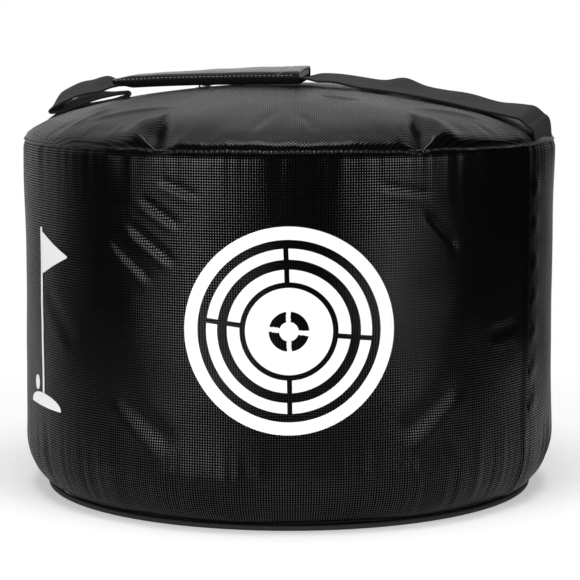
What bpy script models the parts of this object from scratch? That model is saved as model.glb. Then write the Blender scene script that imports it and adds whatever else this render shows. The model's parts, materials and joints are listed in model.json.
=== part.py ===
"""Golf impact bag: a short stuffed drum of coated fabric with a carry strap, a grip and a filling zip."""

import math

import bmesh
import bpy
from mathutils import Matrix, Vector

# Drum
BAG_RADIUS = 0.185
SEAM_HEIGHT = 0.243
CORNER_HEIGHT = 0.0387
FOOT_RADIUS = 0.1670
FOOT_HEIGHT = 0.0040
SKIN = 0.0012
GAP = 0.0003
ROUND_STEPS = 64

# Crowned top
APEX_HEIGHT = 0.2805
DOME_RADIUS = 0.620
CROWN_RADIUS = 0.130
SHOULDER_RUN = 0.030
RIM_RUN = 0.014
RIM_SLOPE = math.radians(52)

# Lap seam down the side
LAP_AZIMUTH = math.radians(62.5)
LAP_WIDTH = 0.014
LAP_RAMP = 0.008

# Seam bindings
TOP_BINDING_WIDTH = 0.0035
TOP_BINDING_DEPTH = 0.0060
FOOT_BINDING_SIZE = 0.0036

# Strap, which crosses the top on a line turned from the X axis
STRAP_TURN = math.radians(-20)
STRAP_WIDTH = 0.048
STRAP_THICKNESS = 0.0016
STRAP_FOLD_REACH = BAG_RADIUS - 0.0100
STRAP_SKEW = 0.30
TUCK_SKEW = 0.20
STRAP_TUCK_REACH = 0.111
STRAP_RELEASE = 0.050
STRAP_END_RADIUS = BAG_RADIUS - 0.0015

# Grip
GRIP_WIDTH = 0.056
GRIP_WALL = 0.0012
GRIP_LEFT = -0.1285
GRIP_RIGHT = 0.0117
GRIP_LEFT_HEIGHT = APEX_HEIGHT - 0.0010
GRIP_RIGHT_HEIGHT = APEX_HEIGHT + 0.0055
GRIP_BOW = 0.0012
PAD_THICKNESS = 0.0040

# Filling zip, on the crown behind the strap
ZIP_OFFSET = 0.042
ZIP_HALF_LENGTH = 0.090
ZIP_SLOT_WIDTH = 0.0120
ZIP_SLIT = 0.0012
TAPE_WIDTH = 0.0130
TAPE_THICKNESS = 0.0007
TAPE_SEAT = 0.0005
TAPE_OVERHANG = 0.008
COIL_WIDTH = 0.0024
COIL_HEIGHT = 0.0020
STOP_LENGTH = 0.0030
SLIDER_LENGTH = 0.0110
SLIDER_WIDTH = 0.0092
SLIDER_PLATE = 0.0010
SLIDER_WEB = 0.0006
BAIL_LENGTH = 0.0090
BAIL_WIDTH = 0.0018
BAIL_RISE = 0.0040
BAIL_WIRE = 0.0014
PULL_LENGTH = 0.0320
PULL_WIDTH = 0.0072
PULL_THICKNESS = 0.0016
PULL_WINDOW = 0.0066
BAIL_CLEARANCE = 0.0005

# Printed film on the side, white
FILM = 0.0003
TARGET_HEIGHT = 0.131
TARGET_GAP = 0.0032
CROSS_ARMS = tuple(math.radians(arm) for arm in (-5.6, 92.2, 173.3, 270.6, 354.4))
RING_ONE = (0.0574, 0.0657)
RING_TWO = (0.0450, 0.0519)
RING_THREE = (0.0309, 0.0388)
BULLSEYE = (0.0061, 0.0126, 0.0274)
FLAG_AZIMUTH = math.radians(-63)
FLAG_FOOT_HEIGHT = 0.075
POLE_HEIGHT = 0.112
POLE_WIDTH = 0.0030
PENNANT_LENGTH = 0.036
PENNANT_HEIGHT = 0.028
MOUND_LENGTH = 0.056
MOUND_HEIGHT = 0.009
BALL_RADIUS = 0.0050

GRIP_THICKNESS = 2 * GRIP_WALL + STRAP_THICKNESS + PAD_THICKNESS + 3 * GAP
STRAP_AXIS = Vector((math.cos(STRAP_TURN), math.sin(STRAP_TURN), 0))
ACROSS_AXIS = Vector((-math.sin(STRAP_TURN), math.cos(STRAP_TURN), 0))
DOME_CENTRE = Vector((0, 0, APEX_HEIGHT - DOME_RADIUS))
ZIP_TILT = math.asin(ZIP_OFFSET / DOME_RADIUS)
ZIP_ARC_RADIUS = DOME_RADIUS * math.cos(ZIP_TILT)
TAPE_TOP = -SKIN - TAPE_SEAT
COIL_TOP = TAPE_TOP + GAP + COIL_HEIGHT
SLIDER_TOP = COIL_TOP + GAP + SLIDER_PLATE
PULL_AXIS_HEIGHT = SLIDER_TOP + BAIL_CLEARANCE + PULL_THICKNESS / 2
SLIDER_REST = ZIP_HALF_LENGTH - STOP_LENGTH - SLIDER_LENGTH / 2 - GAP


def material(name, colour, roughness, metallic=0.0):
    made = bpy.data.materials.new(name)
    made.use_nodes = True
    shader = made.node_tree.nodes["Principled BSDF"]
    shader.inputs["Base Color"].default_value = (*colour, 1)
    shader.inputs["Roughness"].default_value = roughness
    shader.inputs["Metallic"].default_value = metallic
    made.diffuse_color = (*colour, 1)
    return made


def finish(name, mesh, paint, smooth_angle=None):
    """Makes a bmesh a named object with its material; past smooth_angle its edges stay sharp."""
    bmesh.ops.recalc_face_normals(mesh, faces=mesh.faces)
    data = bpy.data.meshes.new(name)
    mesh.to_mesh(data)
    mesh.free()
    data.materials.append(paint)
    if smooth_angle is not None:
        data.shade_smooth()
        data.set_sharp_from_angle(angle=smooth_angle)
    made = bpy.data.objects.new(name, data)
    bpy.context.scene.collection.objects.link(made)
    return made


def grid_solid(rings, joined=False):
    """A solid through like rings of points: its ends are capped, or joined to each other."""
    mesh = bmesh.new()
    loops = [[mesh.verts.new(point) for point in ring] for ring in rings]
    pairs = list(zip(loops, loops[1:]))
    if joined:
        pairs.append((loops[-1], loops[0]))
    for first, second in pairs:
        for i in range(len(first)):
            before = i - 1
            mesh.faces.new((first[before], first[i], second[i], second[before]))
    if not joined:
        mesh.faces.new(loops[0])
        mesh.faces.new(loops[-1])
    return mesh


def turned(profile, steps=ROUND_STEPS):
    """A solid of revolution about Z; a profile that starts and ends on the axis closes there."""
    mesh = bmesh.new()
    verts = [mesh.verts.new((radius, 0, height)) for radius, height in profile]
    edges = [mesh.edges.new(pair) for pair in zip(verts, verts[1:])]
    if profile[0][0] > 0:
        edges.append(mesh.edges.new((verts[-1], verts[0])))
    bmesh.ops.spin(
        mesh, geom=verts + edges, cent=(0, 0, 0), axis=(0, 0, 1), angle=math.tau,
        steps=steps, use_merge=True, use_duplicate=False,
    )
    bmesh.ops.remove_doubles(mesh, verts=mesh.verts, dist=1e-6)
    return mesh


def change(target, helper, operation):
    """Joins a hidden helper shape to the target, or cuts it out."""
    helper.hide_render = True
    helper.display_type = "WIRE"
    boolean = target.modifiers.new(helper.name, "BOOLEAN")
    boolean.object = helper
    boolean.operation = operation
    boolean.solver = "EXACT"


def bezier(points, share):
    """A point of the cubic curve through four control points."""
    first, second, third, last = points
    rest = 1 - share
    return (rest**3 * first + 3 * rest**2 * share * second
            + 3 * rest * share**2 * third + share**3 * last)


def on_strap(along, height, across=0.0):
    """The point at this distance along the strap's line, at this height, and across the strap."""
    return STRAP_AXIS * along + ACROSS_AXIS * across + Vector((0, 0, height))


def on_zip(along, across, above):
    """The point along the zip's arc from right to left, across it, and above the crown's outer face."""
    radius = DOME_RADIUS + above
    sideways = radius * math.sin(ZIP_TILT) + across * math.cos(ZIP_TILT)
    outward = radius * math.cos(ZIP_TILT) - across * math.sin(ZIP_TILT)
    turn = -along / ZIP_ARC_RADIUS
    return (DOME_CENTRE + STRAP_AXIS * (outward * math.sin(turn)) + ACROSS_AXIS * sideways
            + Vector((0, 0, outward * math.cos(turn))))


def on_side(azimuth, around, height, above):
    """The point on the drum's side at this distance round from an azimuth, counted from the front."""
    angle = azimuth + around / BAG_RADIUS
    radius = BAG_RADIUS + above
    return Vector((radius * math.sin(angle), -radius * math.cos(angle), height))


def top_profile(inset):
    """The crowned top's outline from its middle to its rim, set in by a thickness along its normal."""
    crown_angle = math.asin(CROWN_RADIUS / DOME_RADIUS)
    crown_steps = 6
    shoulder_steps = 8
    points = []
    for i in range(crown_steps + 1):
        angle = crown_angle * i / crown_steps
        radius = DOME_RADIUS - inset
        points.append((radius * math.sin(angle), DOME_CENTRE.z + radius * math.cos(angle)))
    edge = Vector((CROWN_RADIUS, DOME_CENTRE.z + DOME_RADIUS * math.cos(crown_angle)))
    rim = Vector((BAG_RADIUS, SEAM_HEIGHT + GAP))
    out = edge + SHOULDER_RUN * Vector((math.cos(crown_angle), -math.sin(crown_angle)))
    back = rim + RIM_RUN * Vector((-math.cos(RIM_SLOPE), math.sin(RIM_SLOPE)))
    for i in range(1, shoulder_steps + 1):
        share = i / shoulder_steps
        here = bezier((edge, out, back, rim), share)
        slope = bezier((edge, out, back, rim), share + 0.001) - here
        inward = Vector((slope.y, -slope.x)).normalized()
        points.append(tuple(here + inset * inward))
    points[-1] = (rim.x - inset / math.sin(RIM_SLOPE), rim.y)
    return points


def top_height(radius, above=0.0):
    """The height of the crowned top at this radius."""
    outline = top_profile(-above)
    for (near, high), (far, low) in zip(outline, outline[1:]):
        if near <= radius <= far:
            return high + (low - high) * (radius - near) / (far - near)
    return outline[-1][1]


def side_profile(inset):
    """The side's outline from the top seam down to the foot, where the drum's corner rounds under."""
    corner_steps = 6
    width = BAG_RADIUS - FOOT_RADIUS
    height = CORNER_HEIGHT - FOOT_HEIGHT
    points = [(BAG_RADIUS - inset, SEAM_HEIGHT)]
    for i in range(corner_steps + 1):
        angle = math.radians(78) * i / corner_steps
        reach = 1 - math.cos(angle)
        drop = math.sin(angle)
        full = 1 - math.cos(math.radians(78))
        radius = BAG_RADIUS - width * reach / full
        level = CORNER_HEIGHT - height * drop / math.sin(math.radians(78))
        normal = Vector((height * math.cos(angle), width * math.sin(angle))).normalized()
        points.append((radius - inset * normal.x, level + inset * normal.y))
    return points


def make_side_panel(paint):
    """One sheet rolled into a drum: its end laps over its start, which ramps inward under it."""
    outer = side_profile(0.0)
    inner = side_profile(SKIN)[::-1]
    lap = LAP_WIDTH / BAG_RADIUS
    ramp = LAP_RAMP / BAG_RADIUS
    tucked = SKIN + GAP
    stations = [(-lap, tucked), (0.0, tucked), (ramp, 0.0)]
    steps = ROUND_STEPS
    for i in range(1, steps + 1):
        angle = ramp + (math.tau - ramp) * i / steps
        stations.append((angle, 0.0))
    rings = []
    for turn, depth in stations:
        angle = LAP_AZIMUTH + turn
        ring = []
        for radius, height in outer + inner:
            reach = radius - depth
            ring.append((reach * math.sin(angle), -reach * math.cos(angle), height))
        rings.append(ring)
    return finish("side_panel", grid_solid(rings), paint, math.radians(40))


def make_top_panel(name, side, paint):
    """Half of the crowned lid, split along the zip's line, with the zip's slot cut from its edge."""
    inner = top_profile(SKIN)[::-1]
    outline = top_profile(0.0) + inner
    mesh = turned(outline)
    split = ZIP_OFFSET + side * GAP / 2
    bmesh.ops.bisect_plane(
        mesh, geom=mesh.verts[:] + mesh.edges[:] + mesh.faces[:], dist=1e-7,
        plane_co=ACROSS_AXIS * split, plane_no=ACROSS_AXIS * side, clear_inner=True,
    )
    open_edges = [edge for edge in mesh.edges if edge.is_boundary]
    bmesh.ops.triangle_fill(mesh, use_beauty=True, edges=open_edges)
    return finish(name, mesh, paint, math.radians(40))


def make_bottom_panel(paint):
    """The flat base disc that the drum stands on."""
    radius = FOOT_RADIUS - SKIN - GAP
    outline = [(0, SKIN), (radius, SKIN), (radius, 0), (0, 0)]
    return finish("bottom_panel", turned(outline), paint, math.radians(30))


def make_top_binding(paint):
    """Tape over the raw edges of the top seam, inside the drum."""
    outer = BAG_RADIUS - 2 * SKIN - 2 * GAP
    top = SEAM_HEIGHT - GAP
    outline = [
        (outer - TOP_BINDING_WIDTH, top), (outer, top),
        (outer, top - TOP_BINDING_DEPTH), (outer - TOP_BINDING_WIDTH, top - TOP_BINDING_DEPTH),
    ]
    return finish("top_seam_binding", turned(outline), paint, math.radians(30))


def make_foot_binding(paint):
    """The raised bound edge round the base, just outside the foot of the side panel."""
    half = FOOT_BINDING_SIZE / 2
    inner = FOOT_RADIUS + GAP
    low = GAP
    high = low + FOOT_HEIGHT - 2 * GAP
    outline = [
        (inner, high), (inner + half, high), (inner + FOOT_BINDING_SIZE, low + half),
        (inner + FOOT_BINDING_SIZE, low + half / 2), (inner + half, low), (inner, low),
    ]
    return finish("bottom_seam_binding", turned(outline), paint, math.radians(50))


def make_stuffing(paint):
    """Packed towels: one soft body that fills the drum, with a trough under the zip for its slider."""
    clear = SKIN + GAP
    tucked = clear + SKIN + GAP
    binding_inside = BAG_RADIUS - 2 * SKIN - 2 * GAP - TOP_BINDING_WIDTH - GAP
    binding_low = SEAM_HEIGHT - GAP - TOP_BINDING_DEPTH - GAP
    outline = [point for point in top_profile(clear) if point[0] < binding_inside]
    outline.append((binding_inside, top_height(binding_inside, -clear)))
    outline.append((binding_inside, binding_low))
    outline.append((BAG_RADIUS - tucked, binding_low))
    outline += side_profile(tucked)[1:]
    foot = FOOT_RADIUS - tucked + GAP
    outline.append((foot, outline[-1][1]))
    outline.append((foot, clear))
    outline.append((0, clear))
    return finish("stuffing", turned(outline, ROUND_STEPS // 2), paint, math.radians(40))


def zip_bar(name, span, width, above, paint, pieces=10):
    """A bar along the zip's arc between two distances, two sides and two heights."""
    start, end = span
    left, right = width
    low, high = above
    rings = []
    for i in range(pieces + 1):
        along = start + (end - start) * i / pieces
        rings.append([
            on_zip(along, left, low), on_zip(along, right, low),
            on_zip(along, right, high), on_zip(along, left, high),
        ])
    return finish(name, grid_solid(rings), paint)


def make_zip_row(side_name, side, tape_paint, coil_paint):
    """One side of the zip: its tape under the panel's edge, the coil on it and the stop at its end."""
    half = ZIP_HALF_LENGTH
    edge = side * ZIP_SLIT / 2
    tape = sorted((edge, side * TAPE_WIDTH))
    coil = sorted((edge, edge + side * COIL_WIDTH))
    tape_heights = (TAPE_TOP - TAPE_THICKNESS, TAPE_TOP)
    coil_heights = (TAPE_TOP + GAP, COIL_TOP)
    tape_end = half + TAPE_OVERHANG
    zip_bar(f"zip_tape_{side_name}", (-tape_end, tape_end), tape, tape_heights, tape_paint)
    coil_span = (-half + STOP_LENGTH + GAP, half - STOP_LENGTH - GAP)
    zip_bar(f"zip_coil_{side_name}", coil_span, coil, coil_heights, coil_paint)
    stop_span = (half - STOP_LENGTH, half)
    stop_heights = (TAPE_TOP + GAP, SLIDER_TOP)
    zip_bar(f"zip_top_stop_{side_name}", stop_span, coil, stop_heights, coil_paint, 1)


def make_bottom_stop(paint):
    """The block across both coils at the zip's open end."""
    reach = ZIP_SLIT / 2 + COIL_WIDTH
    span = (-ZIP_HALF_LENGTH, -ZIP_HALF_LENGTH + STOP_LENGTH)
    zip_bar("zip_bottom_stop", span, (-reach, reach), (TAPE_TOP + GAP, SLIDER_TOP), paint, 1)


def zip_block(along, across, above):
    """A block in the slider's own frame: its extents along the zip, across it and above the crown."""
    mesh = bmesh.new()
    bmesh.ops.create_cube(mesh, size=1)
    size = [high - low for low, high in (along, across, above)]
    middle = [(high + low) / 2 for low, high in (along, across, above)]
    bmesh.ops.scale(mesh, verts=mesh.verts, vec=size)
    bmesh.ops.translate(mesh, verts=mesh.verts, vec=middle)
    return mesh


def slider_frame():
    """The matrix of the slider at rest: X along the zip, Y across it, Z away from the crown."""
    seat = on_zip(SLIDER_REST, 0, 0)
    across = (on_zip(SLIDER_REST, 1, 0) - seat).normalized()
    outward = (on_zip(SLIDER_REST, 0, 1) - seat).normalized()
    along = outward.cross(across)
    axes = Matrix((along, across, outward)).transposed()
    return Matrix.Translation(seat) @ axes.to_4x4()


def axis_empty(name, place):
    """A marker on a joint's axis, which the pieces that move on it hang from."""
    marker = bpy.data.objects.new(name, None)
    marker.empty_display_size = 0.01
    marker.location = place
    bpy.context.scene.collection.objects.link(marker)
    return marker


def hang(children, marker):
    """Parents pieces to a marker without moving them."""
    for child in children:
        child.parent = marker
        child.matrix_parent_inverse = Matrix.Translation(-marker.location)


def placed_prism(outline, span, place):
    """A prism of an outline between two distances; place turns an outline point and a distance into 3-D."""
    frame = slider_frame()
    rings = [[frame @ place(point, distance) for point in outline] for distance in span]
    return grid_solid(rings)


def make_slider(paint):
    """The slider: a plate above the coils and one below the tapes, joined by a web, with a bail on top."""
    half = SLIDER_WIDTH / 2
    web = SLIDER_WEB / 2
    skirt = ZIP_SLIT / 2 + COIL_WIDTH + GAP
    top = SLIDER_TOP
    under_top = SLIDER_TOP - SLIDER_PLATE
    skirt_end = TAPE_TOP + GAP
    low = TAPE_TOP - TAPE_THICKNESS - GAP
    right_side = [
        (half, top), (half, skirt_end), (skirt, skirt_end), (skirt, under_top),
        (web, under_top), (web, low), (half, low), (half, low - SLIDER_PLATE),
    ]
    left_side = [(-across, above) for across, above in reversed(right_side)]
    length = (-SLIDER_LENGTH / 2, SLIDER_LENGTH / 2)
    body = placed_prism(right_side + left_side, length,
                        lambda point, along: Vector((along, *point)))
    foot = top - SLIDER_PLATE / 2
    reach = BAIL_LENGTH / 2
    rise = top + BAIL_RISE
    inside = reach - BAIL_WIRE
    arch = [
        (-reach, foot), (-reach, rise), (reach, rise), (reach, foot),
        (inside, foot), (inside, rise - BAIL_WIRE), (-inside, rise - BAIL_WIRE), (-inside, foot),
    ]
    bail = placed_prism(arch, (-BAIL_WIDTH / 2, BAIL_WIDTH / 2),
                        lambda point, across: Vector((point[0], across, point[1])))
    slider = finish("zip_slider", body, paint)
    change(slider, finish("slider_bail", bail, paint), "UNION")
    return slider


def make_pull(paint):
    """The pull tab: a flat tab with a window, whose end bar lies under the slider's bail."""
    half = PULL_THICKNESS / 2
    heights = (PULL_AXIS_HEIGHT - half, PULL_AXIS_HEIGHT + half)
    window = BAIL_WIDTH / 2 + BAIL_CLEARANCE
    frame = slider_frame()
    tab = zip_block((-PULL_LENGTH, half), (-PULL_WIDTH / 2, PULL_WIDTH / 2), heights)
    corners = [edge for edge in tab.edges if abs(edge.verts[0].co.z - edge.verts[1].co.z) > half]
    far = [edge for edge in corners if edge.verts[0].co.x < -half]
    bmesh.ops.bevel(tab, geom=far, offset=PULL_WIDTH / 4, segments=3, profile=0.5, affect="EDGES",
                    material=-1)
    bmesh.ops.transform(tab, matrix=frame, verts=tab.verts)
    pull = finish("zip_pull", tab, paint, math.radians(40))
    hole = zip_block((-PULL_WINDOW, -half), (-window, window),
                     (heights[0] - half, heights[1] + half))
    bmesh.ops.transform(hole, matrix=frame, verts=hole.verts)
    change(pull, finish("pull_window", hole, paint), "DIFFERENCE")
    return pull


def grip_height(along):
    """The height of the grip's middle line, a little bowed, at this distance along the strap."""
    share = (along - GRIP_LEFT) / (GRIP_RIGHT - GRIP_LEFT)
    level = GRIP_LEFT_HEIGHT + (GRIP_RIGHT_HEIGHT - GRIP_LEFT_HEIGHT) * share
    return level + GRIP_BOW * 4 * share * (1 - share)


def grip_slope(along):
    step = 0.001
    return (grip_height(along + step) - grip_height(along - step)) / (2 * step)


def on_grip(along, across, above):
    """A point in the grip's own frame, above its middle line and square to it."""
    lean = math.atan(grip_slope(along))
    return on_strap(along - above * math.sin(lean), grip_height(along) + above * math.cos(lean), across)


def stadium(width, thickness, arc_steps=5):
    """A closed outline with straight sides and round ends, as points across and above."""
    radius = thickness / 2
    middle = width / 2 - radius
    points = []
    for side in (1, -1):
        for i in range(arc_steps + 1):
            angle = -math.pi / 2 + math.pi * i / arc_steps
            points.append((side * (middle + radius * math.cos(angle)), side * radius * math.sin(angle)))
    return points


def make_sleeve(paint):
    """The coated cover of the grip: a flat tube round the strap and the pad."""
    stations = [GRIP_LEFT + (GRIP_RIGHT - GRIP_LEFT) * i / 8 for i in range(9)]
    outer = stadium(GRIP_WIDTH, GRIP_THICKNESS)
    inner = stadium(GRIP_WIDTH - 2 * GRIP_WALL, GRIP_THICKNESS - 2 * GRIP_WALL)
    rings = []
    for (across, above), (in_across, in_above) in zip(outer, inner):
        outside = [on_grip(along - STRAP_SKEW * across, across, above) for along in stations]
        inside = [on_grip(along - STRAP_SKEW * in_across, in_across, in_above) for along in stations]
        rings.append(outside + inside[::-1])
    return finish("grip_sleeve", grid_solid(rings, joined=True), paint, math.radians(50))


def make_pad(paint):
    """Foam laid over the strap inside the grip's cover."""
    low = -GRIP_THICKNESS / 2 + GRIP_WALL + GAP + STRAP_THICKNESS + GAP
    high = low + PAD_THICKNESS
    half = (GRIP_WIDTH - GRIP_THICKNESS) / 2 - GAP
    rings = []
    for i in range(9):
        along = GRIP_LEFT + GAP + (GRIP_RIGHT - GRIP_LEFT - 2 * GAP) * i / 8
        rings.append([on_grip(along - STRAP_SKEW * across, across, above) for across, above in
                      ((-half, low), (half, low), (half, high), (-half, high))])
    return finish("grip_pad", grid_solid(rings), paint)


def smooth_path(points, spans=4):
    """Points of a smooth curve through a few chosen points."""
    line = [Vector(point) for point in points]
    line.insert(0, 2 * line[0] - line[1])
    line.append(2 * line[-1] - line[-2])
    path = []
    for before, start, end, after in zip(line, line[1:], line[2:], line[3:]):
        leave = start + (end - before) / 6
        arrive = end - (after - start) / 6
        path += [bezier((start, leave, arrive, end), i / spans) for i in range(spans)]
    path.append(line[-2])
    return path


def between(values, spans=4):
    """Level skews along a smooth path of as many spans, in even steps from each value to the next."""
    steps = [start + (end - start) * i / spans for start, end in zip(values, values[1:]) for i in range(spans)]
    return [(skew, 0) for skew in steps + values[-1:]]


def webbing(name, path, paint, skews):
    """A flat strap along a path in the strap's upright plane. Each skew, a shift for its width, turns it."""
    rings = []
    for i, point in enumerate(path):
        before = path[max(i - 1, 0)]
        after = path[min(i + 1, len(path) - 1)]
        run = (after - before).normalized()
        lift = Vector((-run.y, run.x)) * STRAP_THICKNESS / 2
        half = STRAP_WIDTH / 2
        upper = point + lift
        lower = point - lift
        turned = Vector(skews[i]) * half
        rings.append([on_strap(*(lower + turned), -half), on_strap(*(lower - turned), half),
                      on_strap(*(upper - turned), half), on_strap(*(upper + turned), -half)])
    return finish(name, grid_solid(rings), paint, math.radians(40))


def strap_seat(reach):
    """The strap's middle line at this reach from the axis, where it lies on the crowned top."""
    return top_height(reach, 2 * GAP + STRAP_THICKNESS / 2)


def grip_exit(along):
    """Where the strap's middle line passes this end of the grip."""
    above = -GRIP_THICKNESS / 2 + GRIP_WALL + GAP + STRAP_THICKNESS / 2
    point = on_grip(along, 0, above)
    return Vector((point.dot(STRAP_AXIS), point.z))


def grip_middle():
    return on_grip((GRIP_LEFT + GRIP_RIGHT) / 2, 0, 0)


def make_straps(paint):
    """The strap in three lengths: the slack left one in its fold, one inside the grip, and the right one."""
    out = STRAP_THICKNESS
    left_end = grip_exit(GRIP_LEFT - out)
    right_end = grip_exit(GRIP_RIGHT + out)
    stations = [GRIP_LEFT - out + (GRIP_RIGHT - GRIP_LEFT + 2 * out) * i / 10 for i in range(11)]
    inside = [grip_exit(along) for along in stations]
    middle = webbing("strap_middle", inside, paint,
                     [(STRAP_SKEW, STRAP_SKEW * grip_slope(along)) for along in stations])
    fold = STRAP_FOLD_REACH
    tuck = STRAP_TUCK_REACH
    ply = STRAP_THICKNESS + 4 * GAP
    top_fold = strap_seat(tuck + ply) + ply
    left = [
        left_end - Vector((GAP, 0)),
        (-fold + 6 * ply, left_end.y - ply),
        (-fold + 2 * ply, left_end.y - 3 * ply),
        (-fold - ply, left_end.y - 5 * ply),
        (-fold - ply, left_end.y - 6.3 * ply),
        (-fold + 2 * ply, left_end.y - 6.3 * ply),
        (-fold + 9 * ply, strap_seat(fold - 9 * ply) + 1.6 * ply),
        (-tuck - 3 * ply, strap_seat(tuck + 3 * ply) + ply),
        (-tuck - 0.6 * ply, top_fold),
        (-tuck, top_fold - ply / 2),
        (-tuck - 0.6 * ply, top_fold - ply + GAP / 2),
    ]
    reach = tuck + 3 * ply
    steps = 7
    left_skews = [STRAP_SKEW] * 7 + [TUCK_SKEW] * 4
    for i in range(steps + 1):
        here = reach + (STRAP_END_RADIUS - reach) * i / steps
        left.append((-here, strap_seat(here)))
        left_skews.append(TUCK_SKEW * max(1 - (here - tuck) / (10 * ply), 0))
    webbing("strap_left", smooth_path(left, 3), paint, between(left_skews, 3))
    right = [
        right_end + Vector((GAP, 0)),
        (GRIP_RIGHT + STRAP_RELEASE / 2, strap_seat(GRIP_RIGHT + STRAP_RELEASE / 2) + ply),
    ]
    for i in range(steps + 3):
        start = GRIP_RIGHT + STRAP_RELEASE
        here = start + (STRAP_END_RADIUS - start) * i / (steps + 2)
        right.append((here, strap_seat(here)))
    right_skews = [STRAP_SKEW, STRAP_SKEW / 2] + [0] * (len(right) - 2)
    webbing("strap_right", smooth_path(right, 3), paint, between(right_skews, 3))
    return middle


def film_strip(name, pairs, azimuth, height, paint, joined=False):
    """Printed film on the side: a band between paired points, given round the side and up from a height."""
    rings = []
    for near, far in pairs:
        ring = []
        for point, above in ((near, GAP), (far, GAP), (far, GAP + FILM), (near, GAP + FILM)):
            ring.append(on_side(azimuth, point[0], height + point[1], above))
        rings.append(ring)
    return finish(name, grid_solid(rings, joined), paint)


def as_seen(around):
    """How far round the side a print reaches that looks this far across from straight in front."""
    return BAG_RADIUS * math.asin(around / BAG_RADIUS)


def polar(radius, angle):
    return as_seen(radius * math.cos(angle)), radius * math.sin(angle)


def ring_pairs(radii, start, end, steps):
    """Paired points of a band between two radii; its ends keep a straight gap to the next band."""
    pairs = []
    for i in range(steps + 1):
        pair = []
        for radius in radii:
            back = math.asin(TARGET_GAP / 2 / radius) if end - start < math.tau else 0
            angle = start + back + (end - start - 2 * back) * i / steps
            pair.append(polar(radius, angle))
        pairs.append(pair)
    return pairs


def make_target(paint):
    """The aiming mark: an unbroken outer ring, two rings in quarters, and a bullseye."""
    whole = ring_pairs(RING_ONE, 0, math.tau, 48)[:-1]
    film_strip("target_outer_ring", whole, 0, TARGET_HEIGHT, paint, joined=True)
    for ring, radii in (("middle", RING_TWO), ("inner", RING_THREE)):
        for quarter in range(4):
            pairs = ring_pairs(radii, CROSS_ARMS[quarter], CROSS_ARMS[quarter + 1], 10)
            film_strip(f"target_{ring}_ring_{quarter + 1}", pairs, 0, TARGET_HEIGHT, paint)


def make_bullseye(paint):
    """A disc with a ring of four curved slots round its middle."""
    centre, slot, rim = BULLSEYE
    steps = 32
    mesh = bmesh.new()
    verts = [mesh.verts.new((radius, 0, 0)) for radius in (0, centre, slot, (slot + rim) / 2, rim)]
    edges = [mesh.edges.new(pair) for pair in zip(verts, verts[1:])]
    turn = math.pi / steps
    bmesh.ops.rotate(mesh, verts=verts, matrix=Matrix.Rotation(turn, 3, "Z"))
    bmesh.ops.spin(mesh, geom=verts + edges, cent=(0, 0, 0), axis=(0, 0, 1), angle=math.tau,
                   steps=steps, use_merge=True, use_duplicate=False)
    bmesh.ops.remove_doubles(mesh, verts=mesh.verts, dist=1e-6)
    quarter = steps // 4
    opened = []
    for face in mesh.faces:
        middle = face.calc_center_median()
        cell = round((math.atan2(middle.y, middle.x)) / (math.tau / steps))
        if centre < middle.length < slot and cell % quarter:
            opened.append(face)
    bmesh.ops.delete(mesh, geom=opened, context="FACES")
    raised = bmesh.ops.extrude_face_region(mesh, geom=mesh.faces[:])["geom"]
    lifted = {vert for vert in raised if isinstance(vert, bmesh.types.BMVert)}
    for vert in mesh.verts:
        above = GAP + FILM if vert in lifted else GAP
        vert.co = on_side(0, as_seen(vert.co.x), TARGET_HEIGHT + vert.co.y, above)
    return finish("target_bullseye", mesh, paint)


def make_flag(paint):
    """A plain pictogram: a flag on its pole, with a low mound and a ball."""
    place = (FLAG_AZIMUTH, FLAG_FOOT_HEIGHT)
    half_pole = POLE_WIDTH / 2
    pole_steps = 2
    pole = [((-half_pole, POLE_HEIGHT * i / pole_steps), (half_pole, POLE_HEIGHT * i / pole_steps))
            for i in range(pole_steps + 1)]
    film_strip("flag_pole", pole, *place, paint)
    steps = 6
    top = POLE_HEIGHT - POLE_WIDTH
    tip = POLE_WIDTH / 3
    pennant = []
    for i in range(steps + 1):
        share = i / steps
        half = (PENNANT_HEIGHT * (1 - share) + tip * share) / 2
        across = half_pole + GAP + PENNANT_LENGTH * share
        middle = top - PENNANT_HEIGHT / 2
        pennant.append(((across, middle - half), (across, middle + half)))
    film_strip("flag_pennant", pennant, *place, paint)
    mound = []
    for i in range(2 * steps + 1):
        angle = math.pi * i / (2 * steps)
        across = MOUND_LENGTH / 2 * math.cos(angle)
        mound.append(((across, -GAP - MOUND_HEIGHT),
                      (across, -GAP - MOUND_HEIGHT + tip + (MOUND_HEIGHT - tip) * math.sin(angle))))
    film_strip("flag_mound", mound, *place, paint)
    ball = []
    for i in range(1, 2 * steps):
        angle = math.pi * i / (2 * steps)
        across = -MOUND_LENGTH / 4 + BALL_RADIUS * math.cos(angle)
        rise = BALL_RADIUS * math.sin(angle)
        ball.append(((across, BALL_RADIUS + GAP - rise), (across, BALL_RADIUS + GAP + rise)))
    film_strip("flag_ball", ball, *place, paint)


def make_lid(fabric, towels):
    """Both halves of the lid with the zip's slot, and the stuffing with its trough below the slider."""
    front = make_top_panel("top_panel_front", -1, fabric)
    back = make_top_panel("top_panel_back", 1, fabric)
    stuffing = make_stuffing(towels)
    slot_half = ZIP_HALF_LENGTH + GAP
    slot = zip_bar("zip_slot", (-slot_half, slot_half), (-ZIP_SLOT_WIDTH / 2, ZIP_SLOT_WIDTH / 2),
                   (-4 * SKIN, 4 * SKIN), fabric)
    change(front, slot, "DIFFERENCE")
    change(back, slot, "DIFFERENCE")
    trough_half = ZIP_HALF_LENGTH + TAPE_OVERHANG + GAP
    trough_floor = TAPE_TOP - TAPE_THICKNESS - GAP - SLIDER_PLATE - GAP
    trough = zip_bar("zip_trough", (-trough_half, trough_half), (-TAPE_WIDTH - GAP, TAPE_WIDTH + GAP),
                     (trough_floor, 4 * SKIN), fabric)
    change(stuffing, trough, "DIFFERENCE")


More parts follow.
